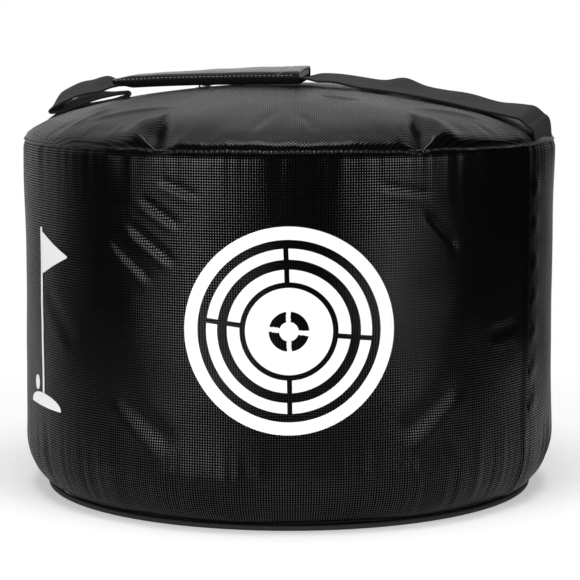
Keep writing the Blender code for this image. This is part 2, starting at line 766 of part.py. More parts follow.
def main():
    for old in list(bpy.data.objects):
        bpy.data.objects.remove(old, do_unlink=True)
    fabric = material("coated_fabric", (0.012, 0.012, 0.013), 0.32)
    tape = material("black_tape", (0.015, 0.015, 0.016), 0.75)
    web = material("black_webbing", (0.014, 0.015, 0.020), 0.70)
    cover = material("grip_cover", (0.035, 0.035, 0.037), 0.38)
    coil = material("black_nylon", (0.010, 0.010, 0.010), 0.35)
    metal = material("black_metal", (0.030, 0.030, 0.032), 0.30, 1.0)
    foam = material("grey_foam", (0.12, 0.12, 0.12), 0.95)
    towels = material("packed_towels", (0.60, 0.58, 0.54), 0.95)
    print_white = material("white_print", (0.85, 0.85, 0.85), 0.45)

    make_side_panel(fabric)
    make_bottom_panel(fabric)
    make_top_binding(tape)
    make_foot_binding(fabric)
    make_lid(fabric, towels)
    for side_name, side in (("front", -1), ("back", 1)):
        make_zip_row(side_name, side, tape, coil)
    make_bottom_stop(coil)
    slider = make_slider(metal)
    pull = make_pull(metal)
    grip = [make_straps(web), make_sleeve(cover), make_pad(foam)]
    make_target(print_white)
    make_bullseye(print_white)
    make_flag(print_white)

    hang([slider], axis_empty("zip_travel_axis", DOME_CENTRE))
    hang([pull], axis_empty("zip_pull_axis", slider_frame() @ Vector((0, 0, PULL_AXIS_HEIGHT))))
    hang(grip, axis_empty("handle_lift_axis", grip_middle()))


main()
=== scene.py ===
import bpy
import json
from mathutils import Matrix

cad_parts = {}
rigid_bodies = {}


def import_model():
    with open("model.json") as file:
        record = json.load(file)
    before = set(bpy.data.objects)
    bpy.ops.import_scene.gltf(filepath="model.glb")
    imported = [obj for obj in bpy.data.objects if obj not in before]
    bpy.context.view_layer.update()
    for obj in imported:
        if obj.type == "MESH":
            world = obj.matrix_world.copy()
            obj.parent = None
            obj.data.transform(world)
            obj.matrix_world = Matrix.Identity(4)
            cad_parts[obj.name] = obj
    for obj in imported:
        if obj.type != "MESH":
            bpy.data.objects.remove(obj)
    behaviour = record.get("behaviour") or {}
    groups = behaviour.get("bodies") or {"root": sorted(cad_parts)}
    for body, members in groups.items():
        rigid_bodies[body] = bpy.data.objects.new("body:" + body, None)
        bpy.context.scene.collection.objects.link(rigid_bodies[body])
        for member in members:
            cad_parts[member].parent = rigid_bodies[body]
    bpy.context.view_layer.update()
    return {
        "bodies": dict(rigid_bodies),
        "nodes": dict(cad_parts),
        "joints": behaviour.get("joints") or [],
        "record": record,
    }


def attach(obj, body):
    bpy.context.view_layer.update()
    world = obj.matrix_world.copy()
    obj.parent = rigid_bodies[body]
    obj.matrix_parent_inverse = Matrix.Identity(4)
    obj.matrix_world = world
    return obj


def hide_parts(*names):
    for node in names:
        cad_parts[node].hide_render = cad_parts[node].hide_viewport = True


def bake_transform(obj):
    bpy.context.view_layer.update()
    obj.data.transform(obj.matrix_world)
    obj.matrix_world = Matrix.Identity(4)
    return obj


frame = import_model()

import json
from math import asin, atan, atan2, cos, degrees, exp, dist, hypot, pi, radians, remainder, sin, tau

import bmesh
import bpy
from mathutils import Matrix, Vector, noise

# Camera: straight in front of the bag, 1.5 m away and a little above the lid, looking 7 degrees
# down, with a long lens. It has no shift and no depth of field.
CAMERA_PLACE = (0.00065, -1.5, 0.3203)
LOOKS_DOWN = 0.1235

scene = bpy.context.scene
eye = bpy.data.cameras.new("camera")
eye.sensor_width, eye.lens = 36, 132.4
eye.clip_start, eye.clip_end = 0.05, 50
camera = bpy.data.objects.new("camera", eye)
camera.location = CAMERA_PLACE
camera.rotation_euler = (pi / 2 - LOOKS_DOWN, 0, 0)
scene.collection.objects.link(camera)
scene.camera = camera
scene.view_settings.view_transform = "Standard"

# Stage: a wide white sheet of paper on the floor under the bag, in a white studio. The camera and
# every reflection see it white; its own shade shows only where the bag keeps the light off it.
FLOOR_RADIUS = 0.6
SHADE_RADIUS = 0.26
WHITE_RADIUS = 0.55
STUDIO_LEVEL = 0.18
DARKEST_REFLECTION = 0.012


def new_paint(name, base, roughness, shine=0.5, **even):
    """A material and its shader, which holds the values that are even all over."""
    material = bpy.data.materials.new(name)
    material.use_nodes = True
    shader = material.node_tree.nodes["Principled BSDF"]
    shader.inputs["Base Color"].default_value = (*base, 1)
    shader.inputs["Roughness"].default_value = roughness
    shader.inputs["Specular IOR Level"].default_value = shine
    for socket, value in even.items():
        shader.inputs[socket.replace("_", " ")].default_value = value
    return material, shader


def add_node(near, kind, *values, **settings):
    """A node in the tree that near is in, with its settings made, and its inputs in order set to a
    value or joined to a socket."""
    tree = near.id_data
    made = tree.nodes.new("ShaderNode" + kind)
    for setting, value in settings.items():
        setattr(made, setting, value)
    for place, value in enumerate(values):
        if isinstance(value, bpy.types.NodeSocket):
            tree.links.new(value, made.inputs[place])
        elif value is not None:
            made.inputs[place].default_value = value
    return made


def reckon(operation, *values):
    """A sum of sockets and numbers."""
    near = next(value for value in values if isinstance(value, bpy.types.NodeSocket))
    return add_node(near, "Math", *values, operation=operation).outputs[0]


def times(value, by):
    return reckon("MULTIPLY", value, by)


def scaled(value, by, plus):
    return reckon("MULTIPLY_ADD", value, by, plus)


def finished(name, shape, paint, smooth=None):
    """Makes a bmesh a named object with its material; edges sharper than smooth stay sharp."""
    data = bpy.data.meshes.new(name)
    shape.to_mesh(data)
    shape.free()
    data.materials.append(paint)
    if smooth is not None:
        data.shade_smooth()
        data.set_sharp_from_angle(angle=radians(smooth))
    piece = bpy.data.objects.new(name, data)
    scene.collection.objects.link(piece)
    return piece


shape = bmesh.new()
bmesh.ops.create_circle(shape, cap_ends=True, radius=FLOOR_RADIUS, segments=96)
floor_paint, shader = new_paint("white_paper", (0.86, 0.86, 0.86), 0.95, 0.0)
tree = floor_paint.node_tree
path = add_node(tree, "LightPath")
seen = reckon("MAXIMUM", path.outputs["Is Camera Ray"], path.outputs["Is Glossy Ray"])
seen = reckon("MAXIMUM", seen, path.outputs["Is Transmission Ray"])
place = add_node(tree, "TexCoord").outputs["Object"]
away = add_node(tree, "VectorMath", place, operation="LENGTH").outputs["Value"]
outer = add_node(tree, "MapRange", away, SHADE_RADIUS, WHITE_RADIUS, interpolation_type="SMOOTHSTEP")
outer = outer.outputs[0]
strength = times(seen, scaled(outer, 0.65, 0.35))
glow = add_node(tree, "Emission", (1, 1, 1, 1), strength)
paper = add_node(tree, "MixShader", times(seen, outer), shader.outputs[0])
crown_light_and_wear = add_node(tree, "AddShader", paper.outputs[0], glow.outputs[0])
tree.links.new(crown_light_and_wear.outputs[0], tree.nodes["Material Output"].inputs["Surface"])
finished("floor", shape, floor_paint)

# The studio's walls are dark in front and white behind, as the bag's reflections show them
studio = bpy.data.worlds.new("studio")
scene.world = studio
studio.use_nodes = True
tree = studio.node_tree
path = add_node(tree, "LightPath")
split = add_node(tree, "SeparateXYZ", add_node(tree, "TexCoord").outputs["Generated"])
above = reckon("MAXIMUM", split.outputs["Z"], 0.0)
behind = scaled(above, 0.6, split.outputs["Y"])
behind = scaled(split.outputs["X"], -0.34, behind)
behind = add_node(
    tree, "MapRange", behind, 0.44, 0.95, DARKEST_REFLECTION, 1.0, interpolation_type="SMOOTHSTEP"
).outputs[0]
shown = reckon("MAXIMUM", path.outputs["Is Glossy Ray"], path.outputs["Is Transmission Ray"])
level = scaled(shown, reckon("SUBTRACT", behind, STUDIO_LEVEL), STUDIO_LEVEL)
level = reckon("MAXIMUM", level, path.outputs["Is Camera Ray"])
background = tree.nodes["Background"]
background.inputs["Color"].default_value = (1, 1, 1, 1)
tree.links.new(level, background.inputs["Strength"])

for name, azimuth, elevation, distance, width, height, power in (
    ("softbox_left", -37, 7, 2.4, 1.5, 1.0, 38),
    ("softbox_right", 44, 8, 2.4, 1.1, 0.9, 28),
    ("softbox_top", 0, 82, 2.6, 1.6, 1.6, 40),
):
    lamp = bpy.data.lights.new(name, "AREA")
    lamp.shape = "RECTANGLE"
    lamp.size, lamp.size_y, lamp.energy = width, height, power
    turn, rise = radians(azimuth), radians(elevation)
    outward = Vector((sin(turn) * cos(rise), -cos(turn) * cos(rise), sin(rise)))
    stand = bpy.data.objects.new(name, lamp)
    stand.location = Vector((0, 0, 0.15)) + outward * distance
    stand.rotation_euler = outward.to_track_quat("Z", "Y").to_euler()
    scene.collection.objects.link(stand)


# Side panel: one length of black coated mesh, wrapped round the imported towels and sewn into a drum.
# Its ends lap at the right and are stitched down there, so the lap puckers between its stitches.
# The towels push it out unevenly, the top seam gathers it, and the foot is drawn in under the bag.
BAG_RADIUS = 0.185
SEAM_HEIGHT = 0.243
GATHERED_TO = 0.2366
CORNER_HEIGHT = 0.0387
CORNER_TURN = 78
FOOT_RADIUS = 0.1670
FOOT_HEIGHT = 0.0040
FABRIC = 0.0012
SIDE_DEPTH = 0.0030
SIDE_STEPS = 640
WEAVE_PITCH = 0.0017
LAP_AZIMUTH = 62.5
PUCKER_HEIGHTS = (0.2150, 0.1900, 0.1650, 0.1412, 0.1180, 0.0930, 0.0694)


def eased(value, start, end):
    """0 before start, 1 after end, and smooth between; start may be the greater."""
    share = min(max((value - start) / (end - start), 0), 1)
    return share * share * (3 - 2 * share)


def bump(value, centre, width):
    return exp(-(((value - centre) / width) ** 2))


def azimuth_of(point):
    """Degrees round the bag from the front towards the right."""
    return degrees(atan2(point.x, -point.y))


def from_azimuth(azimuth, radius, height):
    turn = radians(azimuth)
    return Vector((radius * sin(turn), -radius * cos(turn), height))


def crease(azimuth, height, start, end, width, depth):
    """A fold in the side from one (azimuth, height) to another, deepest at its middle."""
    along = (end[0] - start[0]) * radians(1) * BAG_RADIUS, end[1] - start[1]
    here = (azimuth - start[0]) * radians(1) * BAG_RADIUS, height - start[1]
    length = hypot(*along)
    share = (here[0] * along[0] + here[1] * along[1]) / length**2
    off = (here[0] * along[1] - here[1] * along[0]) / length
    ends = eased(share, 0, 0.25) * eased(share, 1, 0.75)
    return depth * ends * (bump(off, 0, width) - 0.6 * bump(off, 1.6 * width, width))


# Each crease: its two ends as (azimuth, height), its width and its depth
SIDE_CREASES = (
    ((-34, 0.197), (-22, 0.170), 0.0028, -0.0011),
    ((-31, 0.214), (-21, 0.194), 0.0026, -0.0009),
    ((-39, 0.188), (-27, 0.158), 0.0030, -0.0009),
    ((-27, 0.226), (-17, 0.213), 0.0024, -0.0007),
    ((27, 0.205), (36, 0.178), 0.0028, -0.0009),
    ((17, 0.222), (30, 0.214), 0.0024, -0.0006),
    ((44, 0.121), (55, 0.125), 0.0042, -0.0005),
    ((-62, 0.150), (-48, 0.110), 0.0060, -0.0005),
    ((-38, 0.090), (-22, 0.052), 0.0070, -0.0010),
    ((22, 0.060), (36, 0.096), 0.0070, -0.0010),
    ((40, 0.030), (33, 0.062), 0.0040, -0.0005),
    ((110, 0.185), (124, 0.150), 0.0034, -0.0010),
    ((150, 0.110), (166, 0.070), 0.0034, -0.0010),
    ((-150, 0.205), (-138, 0.165), 0.0034, -0.0010),
    ((-112, 0.120), (-98, 0.080), 0.0034, -0.0010),
    ((178, 0.215), (192, 0.190), 0.0030, -0.0009),
)


def lap_rise(beside, height):
    """The lap: a raised step, with a dimple and a bulge at each stitch."""
    within = eased(height, 0.045, 0.060) * eased(height, 0.236, 0.226)
    step = 0.0012 * eased(beside, -0.0198, -0.0128) * (0.15 + 0.85 * eased(beside, 0.0140, -0.0128))
    rise = step * eased(beside, 0.0200, 0.0120)
    for middle in PUCKER_HEIGHTS:
        up = height - middle
        bulge = bump(beside, -0.0010, 0.0064) * bump(up, 0, 0.0056)
        dimple = bump(beside, -0.0092, 0.0011) * bump(up, -0.0006, 0.0030)
        groove = bump(beside, -0.0005, 0.0016) * bump(up, 0.0110, 0.0045)
        rise += within * (0.0009 * bulge - 0.0017 * dimple - 0.0003 * groove)
    return rise


def side_sag(azimuth, height):
    """How far the side stands out from a true drum, in metres."""
    place = from_azimuth(azimuth, BAG_RADIUS, height)
    sag = 0.0009 * noise.noise(place * 11) + 0.0005 * noise.noise(place * 26 + Vector((3, 1, 7)))
    sag += 0.0011 * noise.noise(place * 18 + Vector((9, 2, 4))) * eased(height, 0.15, 0.08)
    below_seam = SEAM_HEIGHT - height
    turn = radians(azimuth)
    ring = Vector((sin(turn), cos(turn), 0))
    gathers = noise.noise(ring * 15) + 0.6 * noise.noise(ring * 38)
    sag += 0.0011 * gathers * exp(-below_seam / 0.018)
    sag += 0.0010 * gathers * bump(height, 0.030, 0.022)
    tucks = noise.noise(Vector((46 * sin(turn), 46 * cos(turn), 5)))
    sag += 0.0009 * tucks * bump(height, 0.026, 0.017)
    for fold in SIDE_CREASES:
        sag += crease(azimuth, height, *fold)
    sag -= 0.0016 * bump(below_seam, 0, 0.0035)
    beside = radians((azimuth - LAP_AZIMUTH + 180) % 360 - 180) * BAG_RADIUS
    return sag + lap_rise(beside, height) if abs(beside) < 0.03 else sag


def side_line():
    """The side's outer line from the seam down to the foot, as (radius, height)."""
    line = [(BAG_RADIUS, SEAM_HEIGHT - 0.0008 * step) for step in range(9)]
    line += [(BAG_RADIUS, GATHERED_TO - (GATHERED_TO - CORNER_HEIGHT) * step / 84) for step in range(1, 85)]
    last = radians(CORNER_TURN)
    for step in range(1, 27):
        turn = radians(CORNER_TURN * step / 26)
        line.append((
            BAG_RADIUS - (BAG_RADIUS - FOOT_RADIUS) * (1 - cos(turn)) / (1 - cos(last)),
            CORNER_HEIGHT - (CORNER_HEIGHT - FOOT_HEIGHT) * sin(turn) / sin(last),
        ))
    return line


def woven(columns, rows, lay):
    """A grid of cloth. From its shares of the columns and the rows, lay gives each point's place
    and its place on the cloth's own flat map."""
    shape = bmesh.new()
    bmesh.ops.create_grid(shape, x_segments=columns, y_segments=rows, size=0.5)
    layer = shape.loops.layers.uv.new("cloth")
    for vert in shape.verts:
        vert.co, flat = lay(vert.co.x + 0.5, vert.co.y + 0.5)
        for loop in vert.link_loops:
            loop[layer].uv = flat
    return shape


def wrapped(line, steps, closed=False, gather=0.0):
    """A flat length of cloth, laid to a line of (radius, height) and wrapped round the bag from the
    lap to the lap. Its flat map is in metres, round the bag and along the line. A gather, up to 1,
    sets its columns closer beside the lap."""
    line = line + line[:1] if closed else line
    run = [0.0]
    for near, far in zip(line, line[1:]):
        run.append(run[-1] + dist(near, far))

    def lay(share, up):
        row = round((1 - up) * (len(line) - 1))
        share -= gather * sin(tau * share) / tau
        return from_azimuth(LAP_AZIMUTH + 360 * share, *line[row]), (share * tau * BAG_RADIUS, -run[row])
    return woven(steps, len(line) - 1, lay)


def sealed(shape, near=1e-6):
    """Merges doubled points, closes what is open and turns every face outwards."""
    bmesh.ops.remove_doubles(shape, verts=shape.verts, dist=near)
    bmesh.ops.holes_fill(shape, edges=[edge for edge in shape.edges if edge.is_boundary], sides=0)
    bmesh.ops.recalc_face_normals(shape, faces=shape.faces)


def on_piece(shader):
    return add_node(shader, "TexCoord").outputs["Object"]


def on_cloth(shader):
    return add_node(shader, "UVMap", uv_map="cloth").outputs[0]


def measures(place):
    return add_node(place, "SeparateXYZ", place).outputs[:2]


def speckle(shader, scale, detail, roughness=0.5):
    place = on_piece(shader)
    return add_node(shader, "TexNoise", place, None, scale, detail, roughness).outputs[0]


def feed(shader, socket, value):
    shader.id_data.links.new(value, shader.inputs[socket])


def two_tone(shader, share, low, high, high_from=1.0):
    """The colour goes from low to high as the share goes from 0 to high_from."""
    made = add_node(shader, "ValToRGB", share)
    start, end = made.color_ramp.elements
    start.color, end.color, end.position = (*low, 1), (*high, 1), high_from
    feed(shader, "Base Color", made.outputs[0])
    return made.outputs[0]


def relief(shader, strength, depth, height):
    made = add_node(shader, "Bump", strength, depth, None, height)
    feed(shader, "Normal", made.outputs[0])
    return made.outputs[0]


def weave_height(place):
    """Height of the plain weave at a place, 0 between the threads and 1 on the crowns."""
    ribs = []
    for way in measures(place):
        wave = reckon("COSINE", times(way, tau / WEAVE_PITCH))
        ribs.append(scaled(wave, 0.5, 0.5))
    return times(ribs[0], scaled(ribs[1], 0.75, 0.25))


def coated_mesh_paint(name, mapped, between=0.0, turned=0.0):
    """Black mesh: dull woven threads with a thin clear coat. The crowns are painted lighter and the coat
    lies on them, only as thick as between in the hollows, so the hollows stay dark: painted shade in
    the weave. A flat panel's weave can be turned, in degrees."""
    coating = {"Coat_IOR": 1.55, "Coat_Roughness": 0.15}
    material, shader = new_paint(name, (0.01, 0.01, 0.011), 0.55, 0.02, **coating)
    place = on_cloth(shader) if mapped else on_piece(shader)
    if not mapped:
        place = add_node(shader, "Mapping", place, None, (0, 0, radians(turned))).outputs[0]
    height = weave_height(place)
    wear = speckle(shader, 18.0, 4.0, 0.6)
    crown_light_and_wear = times(height, wear)
    # Painted shade: the crowns are painted lighter than the hollows between the threads
    two_tone(shader, crown_light_and_wear, (0.0002, 0.0002, 0.0002), (0.0032, 0.0032, 0.0034), 0.62)
    # Painted shade: the coat, and with it the reflection, is thin or missing in the hollows between the threads
    coat_and_gap_shade = add_node(shader, "MapRange", height, 0.34, 0.70, between, 1.0).outputs[0]
    coat_and_gap_shade = times(coat_and_gap_shade, scaled(wear, 0.8, 0.42))
    feed(shader, "Coat Weight", coat_and_gap_shade)
    feed(shader, "Roughness", scaled(wear, 0.2, 0.45))
    feed(shader, "Coat Normal", relief(shader, 0.4, 0.0002, height))
    return material


inside = [(r - SIDE_DEPTH, z) for r, z in side_line()[::-12]]
shape = wrapped(side_line() + inside, SIDE_STEPS, closed=True, gather=0.45)
for vert in shape.verts:
    outward = Vector((vert.co.x, vert.co.y, 0)).normalized()
    vert.co += outward * side_sag(azimuth_of(vert.co), vert.co.z)
sealed(shape)
side_panel = finished("side_panel_cloth", shape, coated_mesh_paint("coated_mesh_side", True), 80)
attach(side_panel, "bag")
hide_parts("side_panel")

# Print: the aiming mark and the flag sign, white film pressed hot onto the cloth, so the weave
# shows through it a little. Each patch of film is cut by itself and follows the side's folds.
FILM = 0.0003
FILM_LIFT = 0.0002
TARGET_HEIGHT = 0.131
TARGET_GAP = 0.0032
CROSS_ARMS = (-5.6, 92.2, 173.3, 270.6, 354.4)
RINGS = {"middle": (0.0450, 0.0519), "inner": (0.0309, 0.0388)}
OUTER_RING = (0.0574, 0.0657)
BULLSEYE_RADII = (0, 0.00305, 0.0061, 0.0083, 0.0105, 0.0126, 0.0175, 0.0225, 0.0274)
SLOT_RADII = (0.0061, 0.0126)
FLAG_AZIMUTH = -63
FLAG_FOOT = 0.075
POLE = (0.0030, 0.112)
PENNANT = (0.036, 0.028)
MOUND = (0.056, 0.009)
POINT_WIDTH = 0.001
BALL_RADIUS = 0.0050
SIGN_GAP = 0.0003

print_paint, shader = new_paint("print_white", (0.86, 0.86, 0.85), 0.48)
threads = weave_height(on_cloth(shader))
# Painted shade: the film is painted a little darker over the hollows between the threads
two_tone(shader, threads, (0.78, 0.78, 0.77), (0.90, 0.90, 0.89))
relief(shader, 0.25, 0.0002, threads)


def faces_where(shape, test):
    """The faces whose middles pass a test."""
    return [face for face in shape.faces if test(face.calc_center_median())]


def walled(shape, wall, outward=Vector((0, 0, 1))):
    """Turns a sheet's faces to its outer side, then gives it its wall on the other."""
    bmesh.ops.recalc_face_normals(shape, faces=shape.faces)
    outmost = max(shape.faces, key=lambda face: face.calc_center_median().dot(outward))
    if outmost.normal.dot(outward) < 0:
        bmesh.ops.reverse_faces(shape, faces=shape.faces)
    bmesh.ops.solidify(shape, geom=shape.faces[:], thickness=wall)


def press_on(name, shape, azimuth=0, foot=TARGET_HEIGHT, as_seen=True):
    """Presses flat film, cut in the XY plane, onto the side; as_seen keeps its look from in front."""
    bmesh.ops.remove_doubles(shape, verts=shape.verts, dist=1e-6)
    layer = shape.loops.layers.uv["cloth"]
    for vert in shape.verts:
        across = BAG_RADIUS * asin(vert.co.x / BAG_RADIUS) if as_seen else vert.co.x
        turn, height = azimuth + degrees(across / BAG_RADIUS), foot + vert.co.y
        for loop in vert.link_loops:
            loop[layer].uv = (radians((turn - LAP_AZIMUTH) % 360) * BAG_RADIUS, height)
        vert.co = from_azimuth(turn, BAG_RADIUS + side_sag(turn, height) + FILM + FILM_LIFT, height)
    middle = sum((vert.co for vert in shape.verts), Vector()) / len(shape.verts)
    walled(shape, FILM, Vector((middle.x, middle.y, 0)))
    film = finished(name + "_film", shape, print_paint, 40)
    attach(film, "bag")
    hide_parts(name)


def film_band(steps, edge):
    """Flat film between two edges: edge gives the point at a share of its length on side 0 or 1."""
    def lay(share, row):
        near, far = edge(0, share), edge(1, share)
        return Vector((near[0] + (far[0] - near[0]) * row, near[1] + (far[1] - near[1]) * row, 0)), (0, 0)
    return woven(steps, 4, lay)


def ring_part(radii, start=0, end=360, gap=0.0):
    """The edges of a ring between two arms of the cross, in degrees, half a gap short of each."""
    def edge(side, share):
        short = asin(gap / 2 / radii[side])
        angle = radians(start) + short + (radians(end - start) - 2 * short) * share
        return radii[side] * cos(angle), radii[side] * sin(angle)
    return edge


press_on("target_outer_ring", film_band(160, ring_part(OUTER_RING)))
for ring, radii in RINGS.items():
    for quarter in range(4):
        band = film_band(40, ring_part(radii, *CROSS_ARMS[quarter : quarter + 2], TARGET_GAP))
        press_on(f"target_{ring}_ring_{quarter + 1}", band)


def bullseye_place(share, row):
    angle, radius = share * tau, BULLSEYE_RADII[round(row * 8)]
    return Vector((radius * cos(angle), radius * sin(angle), 0)), (0, 0)


def in_slot(middle):
    near_arm = min(abs(remainder(degrees(atan2(middle.y, middle.x)) - arm, 360)) for arm in CROSS_ARMS)
    clear = radians(near_arm) * middle.length > TARGET_GAP / 2 - 0.0001
    return clear and SLOT_RADII[0] < middle.length < SLOT_RADII[1]


# The bullseye is a disc with four slots cut in it round its middle
shape = woven(128, 8, bullseye_place)
bmesh.ops.delete(shape, geom=faces_where(shape, in_slot), context="FACES")
press_on("target_bullseye", shape)


def pole_edge(side, share):
    return (0.5 - side) * POLE[0], POLE[1] * share


def pennant_edge(side, share):
    reach = PENNANT[1] * (1 - share) + POINT_WIDTH * share
    middle = POLE[1] - POLE[0] - PENNANT[1] / 2
    return POLE[0] / 2 + SIGN_GAP + PENNANT[0] * share, middle + (0.5 - side) * reach


def mound_edge(side, share):
    rise = POINT_WIDTH + (MOUND[1] - POINT_WIDTH) * sin(pi * share)
    return MOUND[0] / 2 * cos(pi * share), -SIGN_GAP - MOUND[1] + side * rise


def ball_edge(side, share):
    angle = pi * (0.04 + 0.92 * share)
    up = (2 * side - 1) * BALL_RADIUS * sin(angle)
    return BALL_RADIUS * cos(angle) - MOUND[0] / 4, BALL_RADIUS + SIGN_GAP + up


for name, steps, edge in (
    ("flag_pole", 48, pole_edge), ("flag_pennant", 24, pennant_edge),
    ("flag_mound", 36, mound_edge), ("flag_ball", 24, ball_edge),
):
    press_on(name, film_band(steps, edge), FLAG_AZIMUTH, FLAG_FOOT, False)

# Foot: a flat disc of the same coated mesh, cut to the size of the base. It sags a little between
# the lumps of the towels, and is sewn to the side all round its edge.
FOOT_EDGE = FOOT_RADIUS - 0.0015
FOOT_SAG = 0.0006
SEWN_HEIGHT = 0.0024

shape = bmesh.new()
bmesh.ops.create_circle(shape, cap_ends=False, radius=FOOT_EDGE, segments=128)
rim = shape.edges[:]
for share in (0.93, 0.85, 0.7, 0.5, 0.3, 0.12):
    grown = bmesh.ops.extrude_edge_only(shape, edges=rim)["geom"]
    rim = [item for item in grown if isinstance(item, bmesh.types.BMEdge)]
    for vert in {vert for edge in rim for vert in edge.verts}:
        vert.co = vert.co.normalized() * FOOT_EDGE * share
        vert.co.z = FOOT_SAG + FOOT_SAG * noise.noise(vert.co * 40)
bmesh.ops.contextual_create(shape, geom=rim)
for vert in shape.verts:
    if vert.co.length > FOOT_RADIUS * 0.95:
        vert.co.z = SEWN_HEIGHT
bmesh.ops.recalc_face_normals(shape, faces=shape.faces)
bmesh.ops.solidify(shape, geom=shape.faces[:], thickness=FABRIC / 2)
bmesh.ops.recalc_face_normals(shape, faces=shape.faces)
bottom = finished("bottom_panel_cloth", shape, coated_mesh_paint("coated_mesh_flat", False), 50)
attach(bottom, "bag")
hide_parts("bottom_panel")

# Bound edges: strips of ribbed tape wrapped over the raw edges of both round seams. The lower one
# shows as a ribbed rim at the floor; the upper one is turned in, behind the lid's edge.
# Each ring's radius and height, and its tape's width and depth
FOOT_BINDING = (0.1689, 0.0021, 0.0038, 0.0038)
TOP_BINDING = (0.1803, SEAM_HEIGHT - 0.0033, 0.0034, 0.0058)
BINDING_RIBS = 520
TAPE_RIB_PITCH = 0.0009

tape_paint, shader = new_paint("ribbed_tape", (0.010, 0.010, 0.011), 0.6, 0.25)
ribs = times(measures(on_cloth(shader))[0], tau / TAPE_RIB_PITCH)
ribs = scaled(reckon("SINE", ribs), 0.5, 0.5)
# Painted shade: the tape is painted darker in the hollows between its ribs
two_tone(shader, ribs, (0.003, 0.003, 0.0035), (0.020, 0.020, 0.022))
relief(shader, 0.6, 0.0003, ribs)


def bound_edge(name, node, radius, height, width, depth):
    """A rounded strip of tape laid in a ring, drawn in a little between its ribs."""
    section = []
    for step in range(12):
        turn = tau * step / 12
        square = 1 / max(abs(cos(turn)), abs(sin(turn))) ** 0.5
        section.append((radius + width / 2 * square * cos(turn), height + depth / 2 * square * sin(turn)))
    shape = wrapped(section, BINDING_RIBS * 4, closed=True)
    for vert in shape.verts:
        outward = Vector((vert.co.x, vert.co.y, 0)).normalized()
        middle = outward * radius + Vector((0, 0, height))
        valley = 0.5 - 0.5 * cos(BINDING_RIBS * radians(azimuth_of(vert.co)))
        vert.co = middle + (vert.co - middle) * (1 - 0.16 * valley)
    sealed(shape)
    tape = finished(name, shape, tape_paint, 70)
    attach(tape, "bag")
    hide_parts(node)


bound_edge("foot_binding_tape", "bottom_seam_binding", *FOOT_BINDING)
bound_edge("top_binding_tape", "top_seam_binding", *TOP_BINDING)

# Stuffing: old towels pushed in by hand through the zip until the bag stands round and firm. They
# fill it to its cloth, with a hollow left under the zip where the slider runs.
ZIP_HEADING = radians(20)
ZIP_OFFSET = 0.042
TOWEL_TOP = ((0.0, 0.2690), (0.05, 0.2665), (0.09, 0.2615), (0.125, 0.2540))
TOWEL_SHOULDER = ((0.150, 0.2480), (0.166, 0.2405), (0.1745, 0.2300))
TOWEL_FOOT = ((0.172, 0.025), (0.164, 0.012), (0.150, 0.0060), (0.10, 0.0050), (0.05, 0.0050), (0.0, 0.0050))
HOLLOW_DEPTH = 0.0030


def cells(shader, scale):
    return add_node(shader, "TexVoronoi", on_piece(shader), None, scale).outputs["Distance"]


def on_zip_plan(x, y):
    """A place seen from above, as how far it is along the zip's line and across it."""
    return x * cos(ZIP_HEADING) - y * sin(ZIP_HEADING), x * sin(ZIP_HEADING) + y * cos(ZIP_HEADING)


towel_paint, shader = new_paint("towels", (0.62, 0.60, 0.55), 0.95, 0.1)
two_tone(shader, speckle(shader, 22.0, 3.0), (0.46, 0.44, 0.40), (0.74, 0.72, 0.67))
relief(shader, 0.8, 0.001, cells(shader, 420.0))

side = [(0.1765, 0.2300 - 0.019 * step) for step in range(1, 11)]
shape = wrapped([*TOWEL_TOP, *TOWEL_SHOULDER, *side, *TOWEL_FOOT], 96)
for vert in shape.verts:
    packed = 0.0035 * abs(noise.noise(vert.co * 16)) + 0.0012 * noise.noise(vert.co * 40)
    vert.co -= Vector((vert.co.x, vert.co.y, 0)) * packed * 5
    along, across = on_zip_plan(vert.co.x, vert.co.y)
    if vert.co.z > 0.2:
        hollow = eased(abs(across - ZIP_OFFSET), 0.034, 0.022) * eased(abs(along), 0.120, 0.100)
        vert.co.z -= packed + HOLLOW_DEPTH * hollow
sealed(shape, 1e-5)
towels = finished("stuffing_towels", shape, towel_paint, 70)
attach(towels, "bag")
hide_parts("stuffing")

# Lid: two panels of the same coated mesh, joined along the zip and crowned by the towels below.
# Where the round seam takes up their spare width the cloth stands in two deep puckers at the front,
# with shallow creases that run up from them. The lid is steepest in the last few millimetres.
APEX_HEIGHT = 0.2805
DOME_RADIUS = 0.620
CROWN_RADIUS = 0.130
SHOULDER_RUN = 0.030
RIM_RUN = 0.014
RIM_SLOPE = radians(52)
RIM_HEIGHT = 0.2433
LID_STEPS = 576
STRAP_AXIS = Vector((cos(ZIP_HEADING), -sin(ZIP_HEADING), 0))
ACROSS_AXIS = Vector((sin(ZIP_HEADING), cos(ZIP_HEADING), 0))
ZIP_HALF_LENGTH = 0.090
ZIP_SLOT_WIDTH = 0.0120
HALF_JOIN = 0.00015
DOME_CENTRE = Vector((0, 0, APEX_HEIGHT - DOME_RADIUS))
ZIP_TILT = asin(ZIP_OFFSET / DOME_RADIUS)
ZIP_ARC_RADIUS = DOME_RADIUS * cos(ZIP_TILT)


def curved(start, leave, arrive, end, s):
    """A point on a smooth curve from start to end, at a share s of it."""
    return start * (1 - s) ** 3 + leave * 3 * s * (1 - s) ** 2 + arrive * 3 * s * s * (1 - s) + end * s**3


